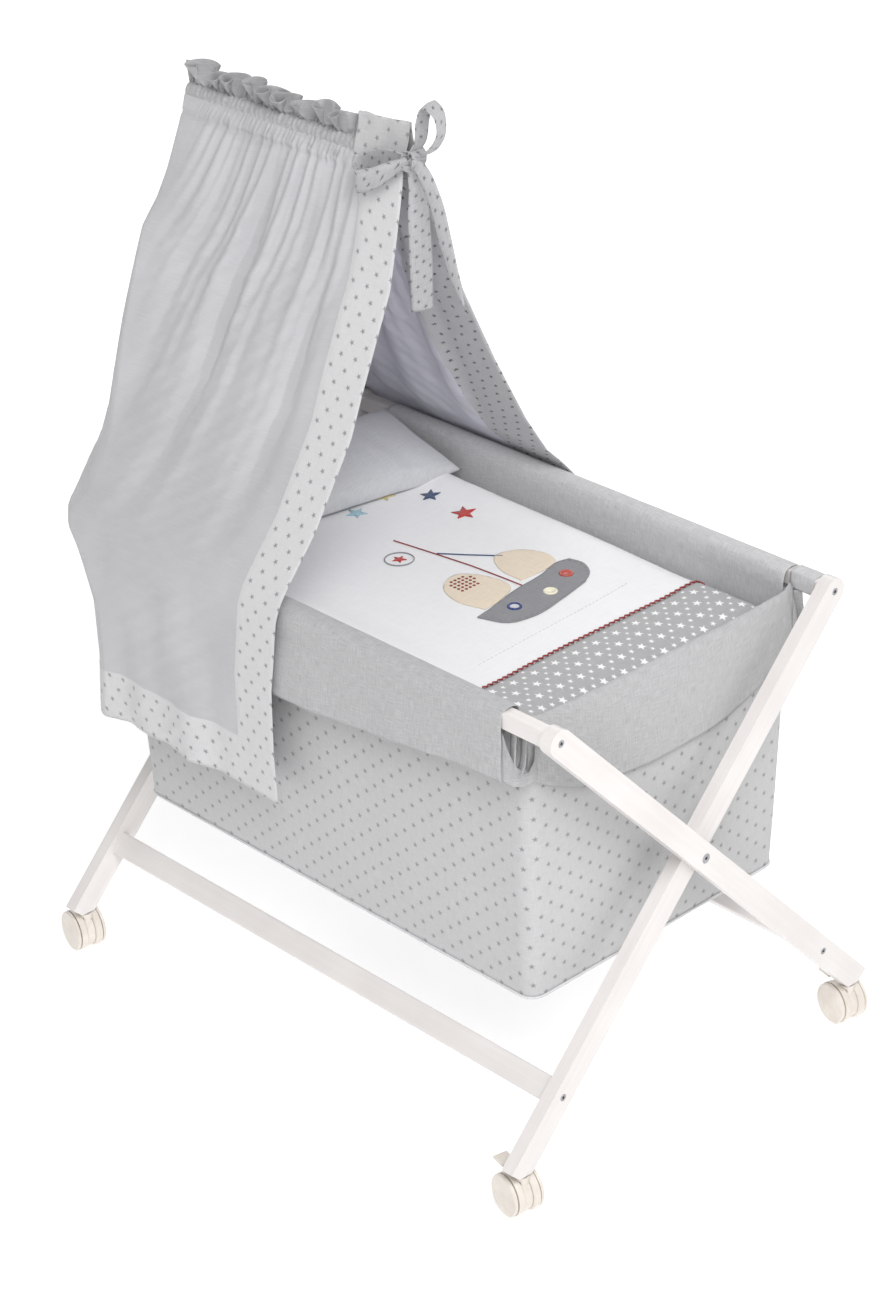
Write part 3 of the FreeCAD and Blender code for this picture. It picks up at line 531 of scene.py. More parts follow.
def ring(half_long, half_wide, corner, count):
    """A rounded rectangle in plan, closed, as evenly spaced points starting at the head end's near corner."""
    corners = []
    for turn, (sx, sy) in enumerate(((1, -1), (1, 1), (-1, 1), (-1, -1))):
        centre = np.array([sx * (half_long - corner), sy * (half_wide - corner)])
        start = -math.pi / 2 + turn * math.pi / 2
        for angle in np.linspace(start, start + math.pi / 2, 13):
            corners.append(centre + corner * np.array([math.cos(angle), math.sin(angle)]))
    path = np.array([*corners[-7:], *corners[:-6]])
    return evenly(path, count)


def basket(mats):
    """Cotton walls that sag between the rails, a floor, and a piped seam round its edge."""
    low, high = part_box("basket_cloth")
    bottom, top = low[2], high[2]
    count, rows = 521, 64
    long_top, wide_top = high[0] - 0.001, high[1] - 0.001
    heights = np.linspace(top, bottom + 0.004, rows)
    points = np.zeros((rows, count, 3))
    for i, z in enumerate(heights):
        down = (top - z) / (top - bottom)
        half_long = long_top - 0.011 * down
        half_wide = wide_top - 0.016 * down
        plan = ring(half_long, half_wide, 0.022, count)
        points[i, :, :2] = plan
        points[i, :, 2] = z
    around = lengths_along(points, 1)
    down = (top - points[..., 2]) / (top - bottom)
    middle = np.cos(np.pi * np.clip(points[..., 0] / 0.82, -0.5, 0.5)) * (np.abs(points[..., 1]) > 0.22)
    ends = np.cos(np.pi * np.clip(points[..., 1] / 0.52, -0.5, 0.5)) * (np.abs(points[..., 0]) > 0.37)
    belly = 0.005 * np.sin(np.pi * down**1.4) * (middle + ends)
    folds = 0.0016 * waves(around, (0.34, 0.21, 0.13), 3) * np.sin(np.pi * np.clip(down * 1.1, 0, 1))
    pulls = 0.0012 * waves(around + 0.35 * points[..., 2], (0.09, 0.061), 5) * smooth_step(down, 0.3, 0.05)
    outward = np.stack([np.gradient(points[..., 1], axis=1), -np.gradient(points[..., 0], axis=1)], axis=-1)
    outward /= np.maximum(np.linalg.norm(outward, axis=-1, keepdims=True), 1e-9)
    points[..., :2] += outward * (belly + folds + pulls)[..., None]
    uv = np.stack([around, -points[..., 2]], axis=-1)
    walls = sheet_mesh("basket_walls", points, uv, [mats["star_cotton"]], weld=True)
    thicken(walls, 0.0018)
    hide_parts("basket_cloth")
    edge = points[-1]
    rim = evenly(edge, 261)[:-1]
    rings = []
    for share in (1, 0.97, 0.8, 0.5, 0.2):
        sunk = np.full(len(rim), bottom + 0.0042 - 0.0035 * (1 - share**4))
        rings.append(np.c_[rim[:, :2] * share, sunk])
    ring_grid = np.stack([np.r_[r, r[:1]] for r in rings])
    floor = sheet_mesh("basket_floor_cloth", ring_grid, ring_grid[..., :2], [mats["star_cotton"]], weld=True)
    close_centre(floor)
    thicken(floor, 0.0016)
    piping = tube("basket_piping", np.c_[rim[:, :2] * 1.001, np.full(len(rim), bottom + 0.0045)], 0.0021,
                  mats["thread"], closed=True)
    return [walls, floor, piping]


def close_centre(obj):
    """Fill the innermost ring of a floor."""
    with editing(obj.data) as work:
        inner = [e for e in work.edges if e.is_boundary and max(abs(v.co.x) for v in e.verts) < 0.1]
        bmesh.ops.contextual_create(work, geom=inner)


# ---------------------------------------------------------------- grey bands

def side_band(mats, side, node):
    """A sleeve sewn over a rail: a skirt outside, a soft roll over the top and a flap inside."""
    low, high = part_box(node)
    outer, inner = max(abs(low[1]), abs(high[1])), min(abs(low[1]), abs(high[1]))
    top = high[2]
    x = np.linspace(low[0], high[0], 159)
    hem = 0.589 + 0.040 * smooth_step(x, -0.05, 0.42) + 0.022 * smooth_step(x, -0.05, -0.42)
    columns = []
    rows = 60
    for i, spot in enumerate(x):
        keys = [
            (outer + 0.001, hem[i]), (outer + 0.0015, hem[i] + 0.03), (outer - 0.0005, top - 0.05),
            (outer - 0.0005, top - 0.012), (outer - 0.004, top - 0.003), (outer - 0.013, top + 0.0005),
            (inner + 0.012, top + 0.0005), (inner + 0.004, top - 0.004), (inner + 0.0005, top - 0.014),
            (inner, top - 0.04), (inner + 0.001, 0.642),
        ]
        profile = curve_points(keys, rows)
        columns.append(np.c_[np.full(rows, spot), profile[:, 0] * side, profile[:, 1]])
    points = np.stack(columns, axis=1)
    down = lengths_along(points, 0)
    loose = smooth_step(down, 0.11, 0.0)
    swing = waves(points[..., 0], (0.31, 0.17, 0.09), 11 if side < 0 else 12)
    points[..., 1] += side * loose * (0.0022 * swing + 0.0012)
    pucker = waves(points[..., 0], (0.021, 0.013), 21) * np.exp(-((down - 0.012) / 0.006) ** 2)
    points[..., 1] += side * 0.0005 * pucker
    stitch = np.exp(-((down - 0.013) / 0.0016) ** 2)
    points[..., 1] -= side * 0.0008 * stitch
    uv = np.stack([points[..., 0], down], axis=-1)
    # The far sleeve takes the lighter chambray: painted light against the shade on its inner side.
    cloth = mats["chambray" if side < 0 else "far_chambray_painted_light"]
    band = sheet_mesh("rail_sleeve_" + node.rsplit("_", 1)[-1], points, uv, [cloth])
    if side > 0:
        flip(band)
    thicken(band, 0.0014)
    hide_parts(node)
    return band


def flip(obj):
    with editing(obj.data) as work:
        bmesh.ops.reverse_faces(work, faces=work.faces)


def end_band(mats, side, node):
    """A fold of cloth across the basket's end; its top sags between the rails and its hem is curved."""
    low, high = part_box(node)
    face, back = max(abs(low[0]), abs(high[0])), min(abs(low[0]), abs(high[0]))
    y = np.linspace(-0.2605, 0.2605, 107)
    across = np.abs(y) / 0.26
    top = 0.7050 + 0.007 * across**4
    hem = 0.560 + 0.066 * across**2.6
    rows = 56
    columns = []
    for i, spot in enumerate(y):
        tuck = 0.010 * smooth_step(across[i], 0.9, 1.0)
        keys = [
            (face + 0.0006 - tuck * 0.5, hem[i]), (face + 0.0016 - tuck * 0.7, hem[i] + 0.05),
            (face - tuck, top[i] - 0.02), (face - 0.0035 - tuck, top[i] - 0.003),
            (0.5 * (face + back) - tuck, top[i] + 0.001), (back + 0.003 - tuck * 0.5, top[i] - 0.004),
            (back, top[i] - 0.02), (back + 0.0005, 0.652),
        ]
        profile = curve_points(keys, rows)
        columns.append(np.c_[profile[:, 0] * side, np.full(rows, spot), profile[:, 1]])
    points = np.stack(columns, axis=1)
    down = lengths_along(points, 0)
    loose = smooth_step(down, 0.16, 0.0)
    points[..., 0] += side * loose * (0.0018 * waves(points[..., 1], (0.23, 0.13), 31) + 0.001)
    points[..., 0] -= side * 0.0008 * np.exp(-((down - 0.013) / 0.0016) ** 2)
    uv = np.stack([points[..., 1], down], axis=-1)
    band = sheet_mesh("end_fold_" + node.rsplit("_", 1)[-1], points, uv, [mats["chambray"]])
    if side < 0:
        flip(band)
    thicken(band, 0.0014)
    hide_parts(node)
    return band


def corner_gussets(mats):
    """A loose fold of grey cloth at each corner, from the sleeve's hem round to the end fold, and a tie."""
    pieces = []
    for sx in (1, -1):
        for sy in (1, -1):
            start = 0.394 if sx > 0 else 0.400
            plan = curve_points([(start, 0.2885), (start + 0.010, 0.286), (0.4145, 0.276), (0.4185, 0.262),
                                 (0.4145, 0.248)], 33)
            t = np.linspace(0, 1, 33)
            top = 0.7 - 0.058 * np.sin(np.pi * t) ** 0.9
            hem = 0.629 - 0.004 * np.sin(np.pi * t)
            rows = 19
            points = np.zeros((rows, 33, 3))
            for j in range(rows):
                f = j / (rows - 1)
                points[j, :, 0] = sx * plan[:, 0]
                points[j, :, 1] = sy * (plan[:, 1] - 0.006 * f * np.sin(np.pi * t))
                points[j, :, 2] = hem + (top - hem) * f
            wrinkle = 0.0018 * waves(t * 0.06, (0.021, 0.013), 41) * np.sin(np.pi * t)
            points[..., 1] += sy * wrinkle
            uv = np.stack([lengths_along(points, 1), points[..., 2]], axis=-1)
            name = f"corner_fold_{'foot' if sx > 0 else 'head'}_{'far' if sy > 0 else 'near'}"
            fold = sheet_mesh(name, points, uv, [mats["chambray"]])
            thicken(fold, 0.0014, offset=0)
            pieces.append(fold)
            strap = np.array([(0.399, 0.272, 0.7015), (0.4005, 0.276, 0.675), (0.403, 0.278, 0.650),
                              (0.407, 0.275, 0.640), (0.410, 0.270, 0.652), (0.4095, 0.266, 0.676),
                              (0.408, 0.264, 0.7015)]) * (sx, sy, 1)
            loop = ribbon(name + "_strap", strap, [(sx, 0.35 * sy, 0)] * 7, [0.015] * 7, mats["chambray"],
                          count=40, cross=5)
            pieces.append(loop)
    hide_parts("corner_ties")
    return pieces


def rail_cuff(mats):
    """The far sleeve's foot end, drawn along the rail to the leg."""
    low, high = (np.array(corner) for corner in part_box("rail_far"))
    middle, half = (low + high) / 2, (high - low) / 2 + 0.0016
    turn = np.linspace(0, 2 * math.pi, 49)
    x = np.linspace(0.396, 0.4375, 15)
    points = np.zeros((len(x), len(turn), 3))
    for i, spot in enumerate(x):
        puckers = 1 + 0.012 * waves(turn * 0.02 + 0.3 * spot, (0.021, 0.013), 81)
        square = np.maximum(np.abs(np.cos(turn)), np.abs(np.sin(turn))) ** 0.8
        points[i, :, 0] = spot
        points[i, :, 1] = middle[1] + half[1] * puckers * np.cos(turn) / square
        points[i, :, 2] = middle[2] + half[2] * puckers * np.sin(turn) / square
    points[:, -1] = points[:, 0]
    uv = np.stack([points[..., 0], lengths_along(points, 1)], axis=-1)
    # The cuff takes the lighter chambray: painted light against the shade at the far foot end.
    cuff = sheet_mesh("rail_cuff", points, uv, [mats["far_chambray_painted_light"]], weld=True)
    thicken(cuff, 0.0012)
    return cuff


def shelf_pieces(mats):
    """The boards and straps inside the basket."""
    pieces = []
    boards = (("basket_floor_board", "floor_board", 0.0015), ("mattress_board", "bed_board", 0.002))
    for node, name, round_by in boards:
        low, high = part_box(node)
        work = bmesh.new()
        bmesh.ops.create_cube(work, size=1)
        for vert in work.verts:
            for k in range(3):
                vert.co[k] = low[k] + (vert.co[k] + 0.5) * (high[k] - low[k])
        upright = [e for e in work.edges if abs(e.verts[0].co.z - e.verts[1].co.z) > 0.001]
        bmesh.ops.bevel(work, geom=upright, offset=0.03, segments=8, affect="EDGES", profile=0.5)
        sharp = [e for e in work.edges if e.calc_face_angle(0) > 1.2]
        bmesh.ops.bevel(work, geom=sharp, offset=round_by, segments=2, affect="EDGES", profile=0.5)
        mesh = bpy.data.meshes.new(name)
        work.to_mesh(mesh)
        work.free()
        board = new_object(name, mesh, [mats["board"]], smooth=False)
        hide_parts(node)
        pieces.append(board)
    low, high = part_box("shelf_straps")
    straps = []
    for i, x in enumerate((-0.28, 0.0, 0.28)):
        t = np.linspace(-1, 1, 61)
        points = np.zeros((5, 61, 3))
        for j, across in enumerate(np.linspace(-0.02, 0.02, 5)):
            points[j, :, 0] = x + across
            points[j, :, 1] = t * (high[1] - 0.001)
            points[j, :, 2] = high[2] - 0.0004 - 0.0008 * (1 - t**2)
        straps.append(sheet_mesh(f"strap_{i}", points, points[..., :2], [mats["webbing"]]))
        thicken(straps[-1], 0.0014)
    group = join_meshes("bed_straps", straps)
    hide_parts("shelf_straps")
    pieces.append(group)
    return pieces


# ---------------------------------------------------------------- bedding

def hold_inside(obj, half_x, half_y, floor=None):
    """Press a pad flat where it meets the basket or what it lies on."""
    for vert in obj.data.vertices:
        vert.co.x = max(-half_x, min(half_x, vert.co.x))
        vert.co.y = max(-half_y, min(half_y, vert.co.y))
        if floor is not None:
            vert.co.z = max(floor, vert.co.z)


def mattress(mats):
    low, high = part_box("mattress")
    inset = 0.006
    pad = grid_block("mattress_pad", [low[0] + inset, low[1] + inset, low[2] + 0.004],
                     [high[0] - inset, high[1] - inset, high[2] - 0.010], 0.009, 0.022)
    puff(pad, 3.0, 0.006)
    hold_inside(pad, high[0], high[1], low[2] + 0.0005)
    finish_pad(pad, mats["white_cotton"])
    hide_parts("mattress")
    return pad


SEAM = 0.261
QUILT_TOP = 0.67


def seam_bow(y):
    """How far the foot band's seam runs ahead of its middle."""
    return (0.20 if y < 0 else 0.07) * y * y


def quilt(mats):
    """The duvet: a long soft pad that fills the basket, puffed along its sides and tucked at the foot."""
    low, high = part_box("quilt")
    pad = grid_block("quilt_pad", [-0.36, -0.251, low[2] + 0.004], [high[0] - 0.006, 0.251, high[2] - 0.004],
                     0.006, 0.018)
    for vert in pad.data.vertices:
        x, y = vert.co.x, vert.co.y
        lift = min(1, max(0.0, vert.co.z - 0.63) / 0.03)
        side = smooth_step(abs(y), 0.15, 0.225)
        foot = smooth_step(x, 0.30, 0.39)
        ripple = math.sin(x * 9 + 1) * math.cos(y * 13) * 0.0016
        puffed = side * (0.012 - 0.008 * smooth_step(x, 0.02, 0.26))
        tucked = 0.010 * foot * (1 - (y / 0.25) ** 2)
        vert.co.z += lift * (ripple + puffed - tucked)
        vert.co.x += seam_bow(y) * math.exp(-((x - SEAM) / 0.07) ** 2)
    puff(pad, 4.0, 0.008)
    hold_inside(pad, high[0] + 0.002, 0.2535, low[2] + 0.0005)
    relax(pad, 2)
    finish_pad(pad, mats["white_cotton"])
    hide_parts("quilt")
    return pad


def peel(source, name, test, lift, material):
    """A patch that covers part of a pad: its faces, moved out along their normals."""
    work = bmesh.new()
    work.from_mesh(source.data)
    drop = [f for f in work.faces if not test(f.calc_center_median(), f.normal)]
    bmesh.ops.delete(work, geom=drop, context="FACES")
    work.normal_update()
    for vert in work.verts:
        vert.co += vert.normal * lift
    mesh = bpy.data.meshes.new(name)
    work.to_mesh(mesh)
    work.free()
    return new_object(name, mesh, [material])


def surface_finder(source):
    """Height of a pad's top at (x, y)."""
    faces = [p.vertices for p in source.data.polygons]
    tree = BVHTree.FromPolygons([v.co for v in source.data.vertices], faces)

    def height(x, y):
        hit = tree.ray_cast(Vector((x, y, 1.0)), Vector((0, 0, -1)))
        return hit[0].z if hit[0] else None
    return height


def applique(name, outline, height, lift, thick, material, cell=0.004):
    """A flat shape sewn on a pad: it follows the pad's top and has a rounded, stitched edge."""
    work = bmesh.new()
    verts = [work.verts.new((x, y, 0)) for x, y in outline]
    work.faces.new(verts)
    xs, ys = [p[0] for p in outline], [p[1] for p in outline]
    for axis, low, high in ((0, min(xs), max(xs)), (1, min(ys), max(ys))):
        for spot in np.arange(low + cell, high, cell):
            point, normal = [0, 0, 0], [0, 0, 0]
            point[axis], normal[axis] = spot, 1
            bmesh.ops.bisect_plane(work, geom=work.verts[:] + work.edges[:] + work.faces[:],
                                   plane_co=point, plane_no=normal, dist=1e-6)
    for vert in work.verts:
        found = height(vert.co.x, vert.co.y)
        vert.co.z = (found if found is not None else QUILT_TOP) + lift
    bmesh.ops.recalc_face_normals(work, faces=work.faces)
    if sum(f.normal.z for f in work.faces) < 0:
        bmesh.ops.reverse_faces(work, faces=work.faces)
    mesh = bpy.data.meshes.new(name)
    work.to_mesh(mesh)
    work.free()
    obj = new_object(name, mesh, [material])
    thicken(obj, thick, offset=1)
    return obj


def star_outline(x, y, radius, turn=0.0):
    points = []
    for i in range(10):
        reach = radius if i % 2 == 0 else radius * 0.44
        angle = turn + math.pi + math.radians(36 * i)
        points.append((x + reach * math.cos(angle), y + reach * math.sin(angle)))
    return points


def hull_outline():
    """The little boat: a low bow toward the near side and a blunt stern toward the far side."""
    deck = curve_points([(0.117, -0.060), (0.112, -0.03), (0.098, 0.03), (0.090, 0.09), (0.078, 0.142),
                         (0.082, 0.156)], 26)
    stern = curve_points([(0.082, 0.156), (0.104, 0.160), (0.130, 0.148), (0.148, 0.120)], 12)
    keel = curve_points([(0.148, 0.120), (0.162, 0.06), (0.170, -0.005), (0.160, -0.04), (0.117, -0.060)], 24)
    return [tuple(p) for p in np.vstack([deck[:-1], stern[:-1], keel[:-1]])]


def stitches(name, path, height, lift, material, dash=0.006, gap=0.004, radius=0.0006):
    """A running stitch laid over a pad."""
    path = np.asarray(path, float)
    length = running_length(path)
    pieces = []
    start = 0.0
    while start + dash < length[-1]:
        spots = np.linspace(start, start + dash, 5)
        x, y = np.interp(spots, length, path[:, 0]), np.interp(spots, length, path[:, 1])
        arch = np.sin(np.linspace(0, np.pi, 5)) * radius
        z = [(height(a, b) or QUILT_TOP) + lift + c - radius * 0.4 for a, b, c in zip(x, y, arch)]
        pieces.append(tube(f"{name}_{len(pieces)}", list(zip(x, y, z)), radius, material))
        start += dash + gap
    return join_meshes(name, pieces)


def laid_cord(name, path, height, lift, radius, material):
    """A thin cord sewn flat on a pad."""
    path = evenly(np.asarray(path, float), max(8, int(len(path) * 14)))
    spots = [(x, y, (height(x, y) or QUILT_TOP) + lift + radius) for x, y in path]
    return tube(name, spots, radius, material)


def button(name, x, y, height, radius, ring_material, face_material):
    """A sewn button: a raised rim and a dished face."""
    base = (height(x, y) or QUILT_TOP) + 0.0016
    profile = [(0, 0.0012), (radius * 0.62, 0.0012), (radius * 0.72, 0.0022), (radius * 0.9, 0.0024),
               (radius, 0.0014), (radius, 0.0002), (0, 0.0)]
    count = 32
    grid = np.zeros((len(profile), count + 1, 3))
    for i, (reach, rise) in enumerate(profile):
        for j in range(count + 1):
            angle = 2 * math.pi * j / count
            grid[i, j] = (x + reach * math.cos(angle), y + reach * math.sin(angle), base + rise)
    slots = np.zeros((len(profile) - 1, count))
    slots[0] = 1
    disc = sheet_mesh(name, grid, grid[..., :2], [ring_material, face_material], slots=slots, weld=True)
    return disc


def quilt_pictures(mats, pad):
    """Everything sewn on the quilt: foot band, zigzag braid, boat, sails, cords, stars and buttons."""
    height = surface_finder(pad)
    pieces = []

    def in_band(centre, normal):
        return centre.x > SEAM + seam_bow(centre.y) and (normal.z > -0.2 or centre.z > 0.63)

    band = peel(pad, "foot_band_cloth", in_band, 0.0011, mats["star_grey"])
    thicken(band, 0.0008, offset=-1)
    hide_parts("quilt_foot_band")
    pieces.append(band)
    ys = np.linspace(-0.236, 0.236, 96)
    wave = [(SEAM + seam_bow(y) - 0.001 + (0.0018 if i % 2 else -0.0018), y) for i, y in enumerate(ys)]
    braid = laid_cord("zigzag_braid", wave, height, 0.0014, 0.0013, mats["braid"])
    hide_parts("quilt_zigzag")
    pieces.append(braid)
    hull = applique("hull_patch", hull_outline(), height, 0.0006, 0.0016, mats["felt_grey"])
    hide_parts("boat_hull")
    pieces.append(hull)
    inner = [(0.128 + (x - 0.128) * 0.94, 0.045 + (y - 0.045) * 0.95) for x, y in hull_outline()]
    pieces.append(stitches("hull_stitching", inner + inner[:1], height, 0.0024, mats["grey_thread"],
                           radius=0.0005))
    near_sail = [(0.108, -0.036), (0.060, -0.046), (0.016, -0.026), (0.004, 0.010), (0.030, 0.032),
                 (0.086, 0.036), (0.106, -0.010)]
    far_sail = [(0.082, 0.060), (0.036, 0.064), (0.000, 0.092), (0.012, 0.128), (0.050, 0.146),
                (0.074, 0.138), (0.082, 0.100)]
    for name, keys in (("near_sail", near_sail), ("far_sail", far_sail)):
        outline = [tuple(p) for p in curve_points(keys, 40)]
        pieces.append(applique(name, outline, height, 0.0005, 0.0012, mats["cream"]))
    patch = curve_points([(0.020, -0.024), (0.010, 0.006), (0.026, 0.022), (0.052, 0.004), (0.044, -0.026),
                          (0.022, -0.026)], 24)
    dots = []
    for i, (x, y) in enumerate(dot_grid(patch, 0.0075)):
        dot = circle_outline(x, y, 0.0024, 8)
        dots.append(applique(f"dot_{i}", dot, height, 0.0016, 0.0006, mats["braid"], cell=0.01))
    pieces.append(join_meshes("sail_dots", dots))
    mast = [(0.098, 0.050), (0.060, 0.048), (0.0, 0.044), (-0.065, 0.036), (-0.140, 0.026)]
    mast_piece = laid_cord("mast_cord", mast, height, 0.0005, 0.0009, mats["braid"])
    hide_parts("boat_mast")
    pieces.append(mast_piece)
    rope = [(-0.064, 0.038), (-0.03, 0.064), (0.009, 0.097)]
    pieces.append(laid_cord("stay_rope", rope, height, 0.0005, 0.0009, mats["navy"]))
    badge = circle_outline(-0.090, -0.010, 0.021, 40)
    pieces.append(laid_cord("pennant_ring", badge + badge[:1], height, 0.0004, 0.0009, mats["felt_grey"]))
    pieces.append(applique("pennant_star", star_outline(-0.090, -0.010, 0.011), height, 0.0005, 0.001,
                           mats["red"]))
    stars = []
    sky = ((-0.246, 0.052, 0.0165, "cyan"), (-0.257, 0.118, 0.0165, "yellow"),
           (-0.207, 0.163, 0.016, "navy"), (-0.130, 0.157, 0.019, "red"))
    for i, (x, y, size, color) in enumerate(sky):
        outline = star_outline(x, y, size, 0.2 * i)
        stars.append(applique(f"star_{i}", outline, height, 0.0005, 0.0012, mats[color], cell=0.006))
    star_piece = join_meshes("felt_stars", stars)
    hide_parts("quilt_stars")
    pieces.append(star_piece)
    discs = []
    portholes = ((0.133, -0.004, "button_blue", "thread"), (0.136, 0.063, "button_cream", "button_cream"),
                 (0.113, 0.118, "button_red", "button_red"))
    for i, (x, y, rim, face) in enumerate(portholes):
        discs.append(button(f"button_{i}", x, y, height, 0.0105, mats[rim], mats[face]))
    buttons = join_meshes("sewn_buttons", discs)
    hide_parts("hull_buttons")
    pieces.append(buttons)
    water = [(0.212, -0.151), (0.207, -0.06), (0.203, 0.02), (0.198, 0.094), (0.192, 0.16)]
    pieces.append(stitches("water_line", curve_points(water, 40), height, 0.0003, mats["thread"],
                           dash=0.005, gap=0.003))
    return pieces


def circle_outline(x, y, radius, count):
    return [(x + radius * math.cos(2 * math.pi * i / count), y + radius * math.sin(2 * math.pi * i / count))
            for i in range(count)]


def dot_grid(outline, pitch):
    """Points of a square grid that fall inside an outline."""
    inside = []
    low, high = outline.min(axis=0), outline.max(axis=0)
    for x in np.arange(low[0], high[0], pitch):
        for y in np.arange(low[1], high[1], pitch):
            crossings = 0
            for (ax, ay), (bx, by) in zip(outline, np.roll(outline, -1, axis=0)):
                if (ay > y) != (by > y) and x < (bx - ax) * (y - ay) / (by - ay) + ax:
                    crossings += 1
            if crossings % 2:
                inside.append((x, y))
    return inside


PILLOW_REST = 0.6785


def pillow(mats):
    """The pillow: pushed against the head band and turned a little, with puckered seams."""
    u, v = np.meshgrid(np.linspace(-1, 1, 121), np.linspace(0, 1, 61))
    front = -0.256 + 0.036 * u - 0.005 * (1 - u**2)
    back = -0.386
    x = front + (back - front) * v
    y = 0.004 + 0.239 * u * (1 - 0.030 * np.sin(np.pi * v))
    seam = 0.6825 + 0.056 * v**0.95 + 0.006 * smooth_step(np.abs(u), 0.6, 1.0) * (1 - v)
    full = np.clip((1 - np.abs(2 * v - 1) ** 2.6) * (1 - np.abs(u) ** 3.4), 0, 1) ** 0.6
    creases = waves(u * 0.2 + v * 0.05, (0.085, 0.047, 0.03), 51) * smooth_step(np.abs(u), 0.1, 0.9)
    creases += waves(v * 0.16 - u * 0.05, (0.06, 0.038), 52) * smooth_step(v, 0.5, 0.0)
    hem = np.exp(-(((1 - u) * 0.239 - 0.022) / 0.0016) ** 2)
    halves = []
    for way in (1, -1):
        z = seam + way * 0.031 * full
        if way > 0:
            z = z + full * (0.0016 * creases - 0.0014 * hem)
        points = np.stack([x, y, np.maximum(z, PILLOW_REST)], axis=-1)
        half = sheet_mesh(f"pillow_half_{way}", points, points[..., :2], [mats["pillow_cotton"]])
        if way > 0:
            flip(half)
        halves.append(half)
    pad = join_meshes("head_pillow", halves)
    with editing(pad.data) as work:
        bmesh.ops.remove_doubles(work, verts=work.verts, dist=2e-4)
        bmesh.ops.recalc_face_normals(work, faces=work.faces)
    puff(pad, 2.0, 0.004)
    for vert in pad.data.vertices:
        vert.co.z = max(vert.co.z, PILLOW_REST)
        vert.co.x = max(vert.co.x, -0.392)
    finish_pad(pad, mats["pillow_cotton"])
    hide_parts("pillow")
    return pad


# ---------------------------------------------------------------- canopy

CASING_LINE, CURTAIN_HEM, HEM_BORDER = 1.272, 0.424, 0.080
BORDER_COLUMNS = 14
LEVELS = {
    # height: near half width at the front and head, far half width, near front x, far front x, head x,
    # near corner cut along x and y, far corner cut along x and y
    # A search program adjusted head x and the near corner's cuts, from 1.064 m down;
    # the cuts at 0.770 and 0.690 m were then changed again.
    1.272: (0.0100, 0.0110, 0.0105, -0.056, -0.056, -0.507, 0.006, 0.006, 0.006, 0.006),
    1.240: (0.0165, 0.0200, 0.0180, -0.053, -0.056, -0.508, 0.008, 0.010, 0.009, 0.009),
    1.190: (0.0290, 0.0390, 0.0380, -0.050, -0.056, -0.511, 0.012, 0.020, 0.014, 0.022),
    1.150: (0.0390, 0.0560, 0.0560, -0.048, -0.056, -0.512, 0.015, 0.030, 0.018, 0.034),
    1.106: (0.0530, 0.0800, 0.0770, -0.044, -0.055, -0.514, 0.020, 0.045, 0.022, 0.046),
    1.064: (0.0780, 0.1100, 0.0920, -0.038, -0.057, -0.516, 0.023, 0.054, 0.027, 0.056),
    0.985: (0.1280, 0.1480, 0.1310, -0.024, -0.058, -0.519, 0.036, 0.080, 0.036, 0.076),
    0.938: (0.1600, 0.1720, 0.1540, -0.012, -0.058, -0.520, 0.045, 0.094, 0.042, 0.088),
    0.832: (0.2400, 0.2400, 0.2110, -0.001, -0.057, -0.518, 0.076, 0.156, 0.050, 0.106),
    0.770: (0.2840, 0.2840, 0.2500, -0.006, -0.054, -0.524, 0.085, 0.178, 0.052, 0.110),
    0.742: (0.2960, 0.2960, 0.2760, -0.012, -0.048, -0.523, 0.057, 0.118, 0.044, 0.104),
    0.715: (0.3000, 0.3000, 0.3000, -0.019, -0.047, -0.522, 0.058, 0.116, 0.040, 0.100),
    0.690: (0.3000, 0.3000, 0.3000, -0.024, -0.046, -0.524, 0.074, 0.150, 0.044, 0.104),
    0.600: (0.3000, 0.3000, 0.3000, -0.038, -0.042, -0.520, 0.106, 0.160, 0.066, 0.116),
    0.500: (0.2995, 0.2995, 0.2995, -0.040, -0.040, -0.516, 0.107, 0.150, 0.080, 0.120),
    0.420: (0.2990, 0.2990, 0.2990, -0.037, -0.038, -0.511, 0.095, 0.127, 0.086, 0.120),
}


def level_values(z):
    heights = sorted(LEVELS)
    table = np.array([LEVELS[h] for h in heights])
    return [float(np.interp(z, heights, table[:, k])) for k in range(table.shape[1])]


def canopy_plan(z, count):
    """The curtain's path in plan at a height: near front edge, round the head, far front edge."""
    near_wide, near_head_wide, far_wide, near, far, head, *cuts = level_values(z)
    path = [np.linspace((near, -near_wide), (head + cuts[0], -near_head_wide), 60)]
    for side, wide, cut_x, cut_y in ((-1, near_head_wide, *cuts[:2]), (1, far_wide, *cuts[2:])):
        start, end = np.array([head + cut_x, side * wide]), np.array([head, side * (wide - cut_y)])
        corner = np.array([head, side * wide])
        control = corner + 0.42 * (0.5 * (start + end) - corner)
        t = np.linspace(0, 1, 30)[:, None]
        arc = (1 - t) ** 2 * start + 2 * t * (1 - t) * control + t**2 * end
        path.append(arc if side < 0 else arc[::-1])
        if side < 0:
            path.append(np.linspace(end, (head, far_wide - cuts[3]), 40))
    path.append(np.linspace((head + cuts[2], far_wide), (far, far_wide), 60))
    path = np.vstack(path)
    keep = np.r_[True, np.linalg.norm(np.diff(path, axis=0), axis=1) > 1e-7]
    path = path[keep]
    length = running_length(path)
    near_border = 0.078 if z < 1.2 else 0.078 + 0.016 * (z - 1.2) / 0.072
    far_border = near_border + 0.042
    near_edge = np.linspace(0, near_border, BORDER_COLUMNS, endpoint=False)
    far_edge = np.linspace(0, far_border, BORDER_COLUMNS, endpoint=False)
    middle = np.linspace(near_border, length[-1] - far_border, count - 2 * BORDER_COLUMNS)
    spots = np.r_[near_edge, middle, (length[-1] - far_edge)[::-1]]
    return np.stack([np.interp(spots, length, path[:, k]) for k in range(2)], axis=1)


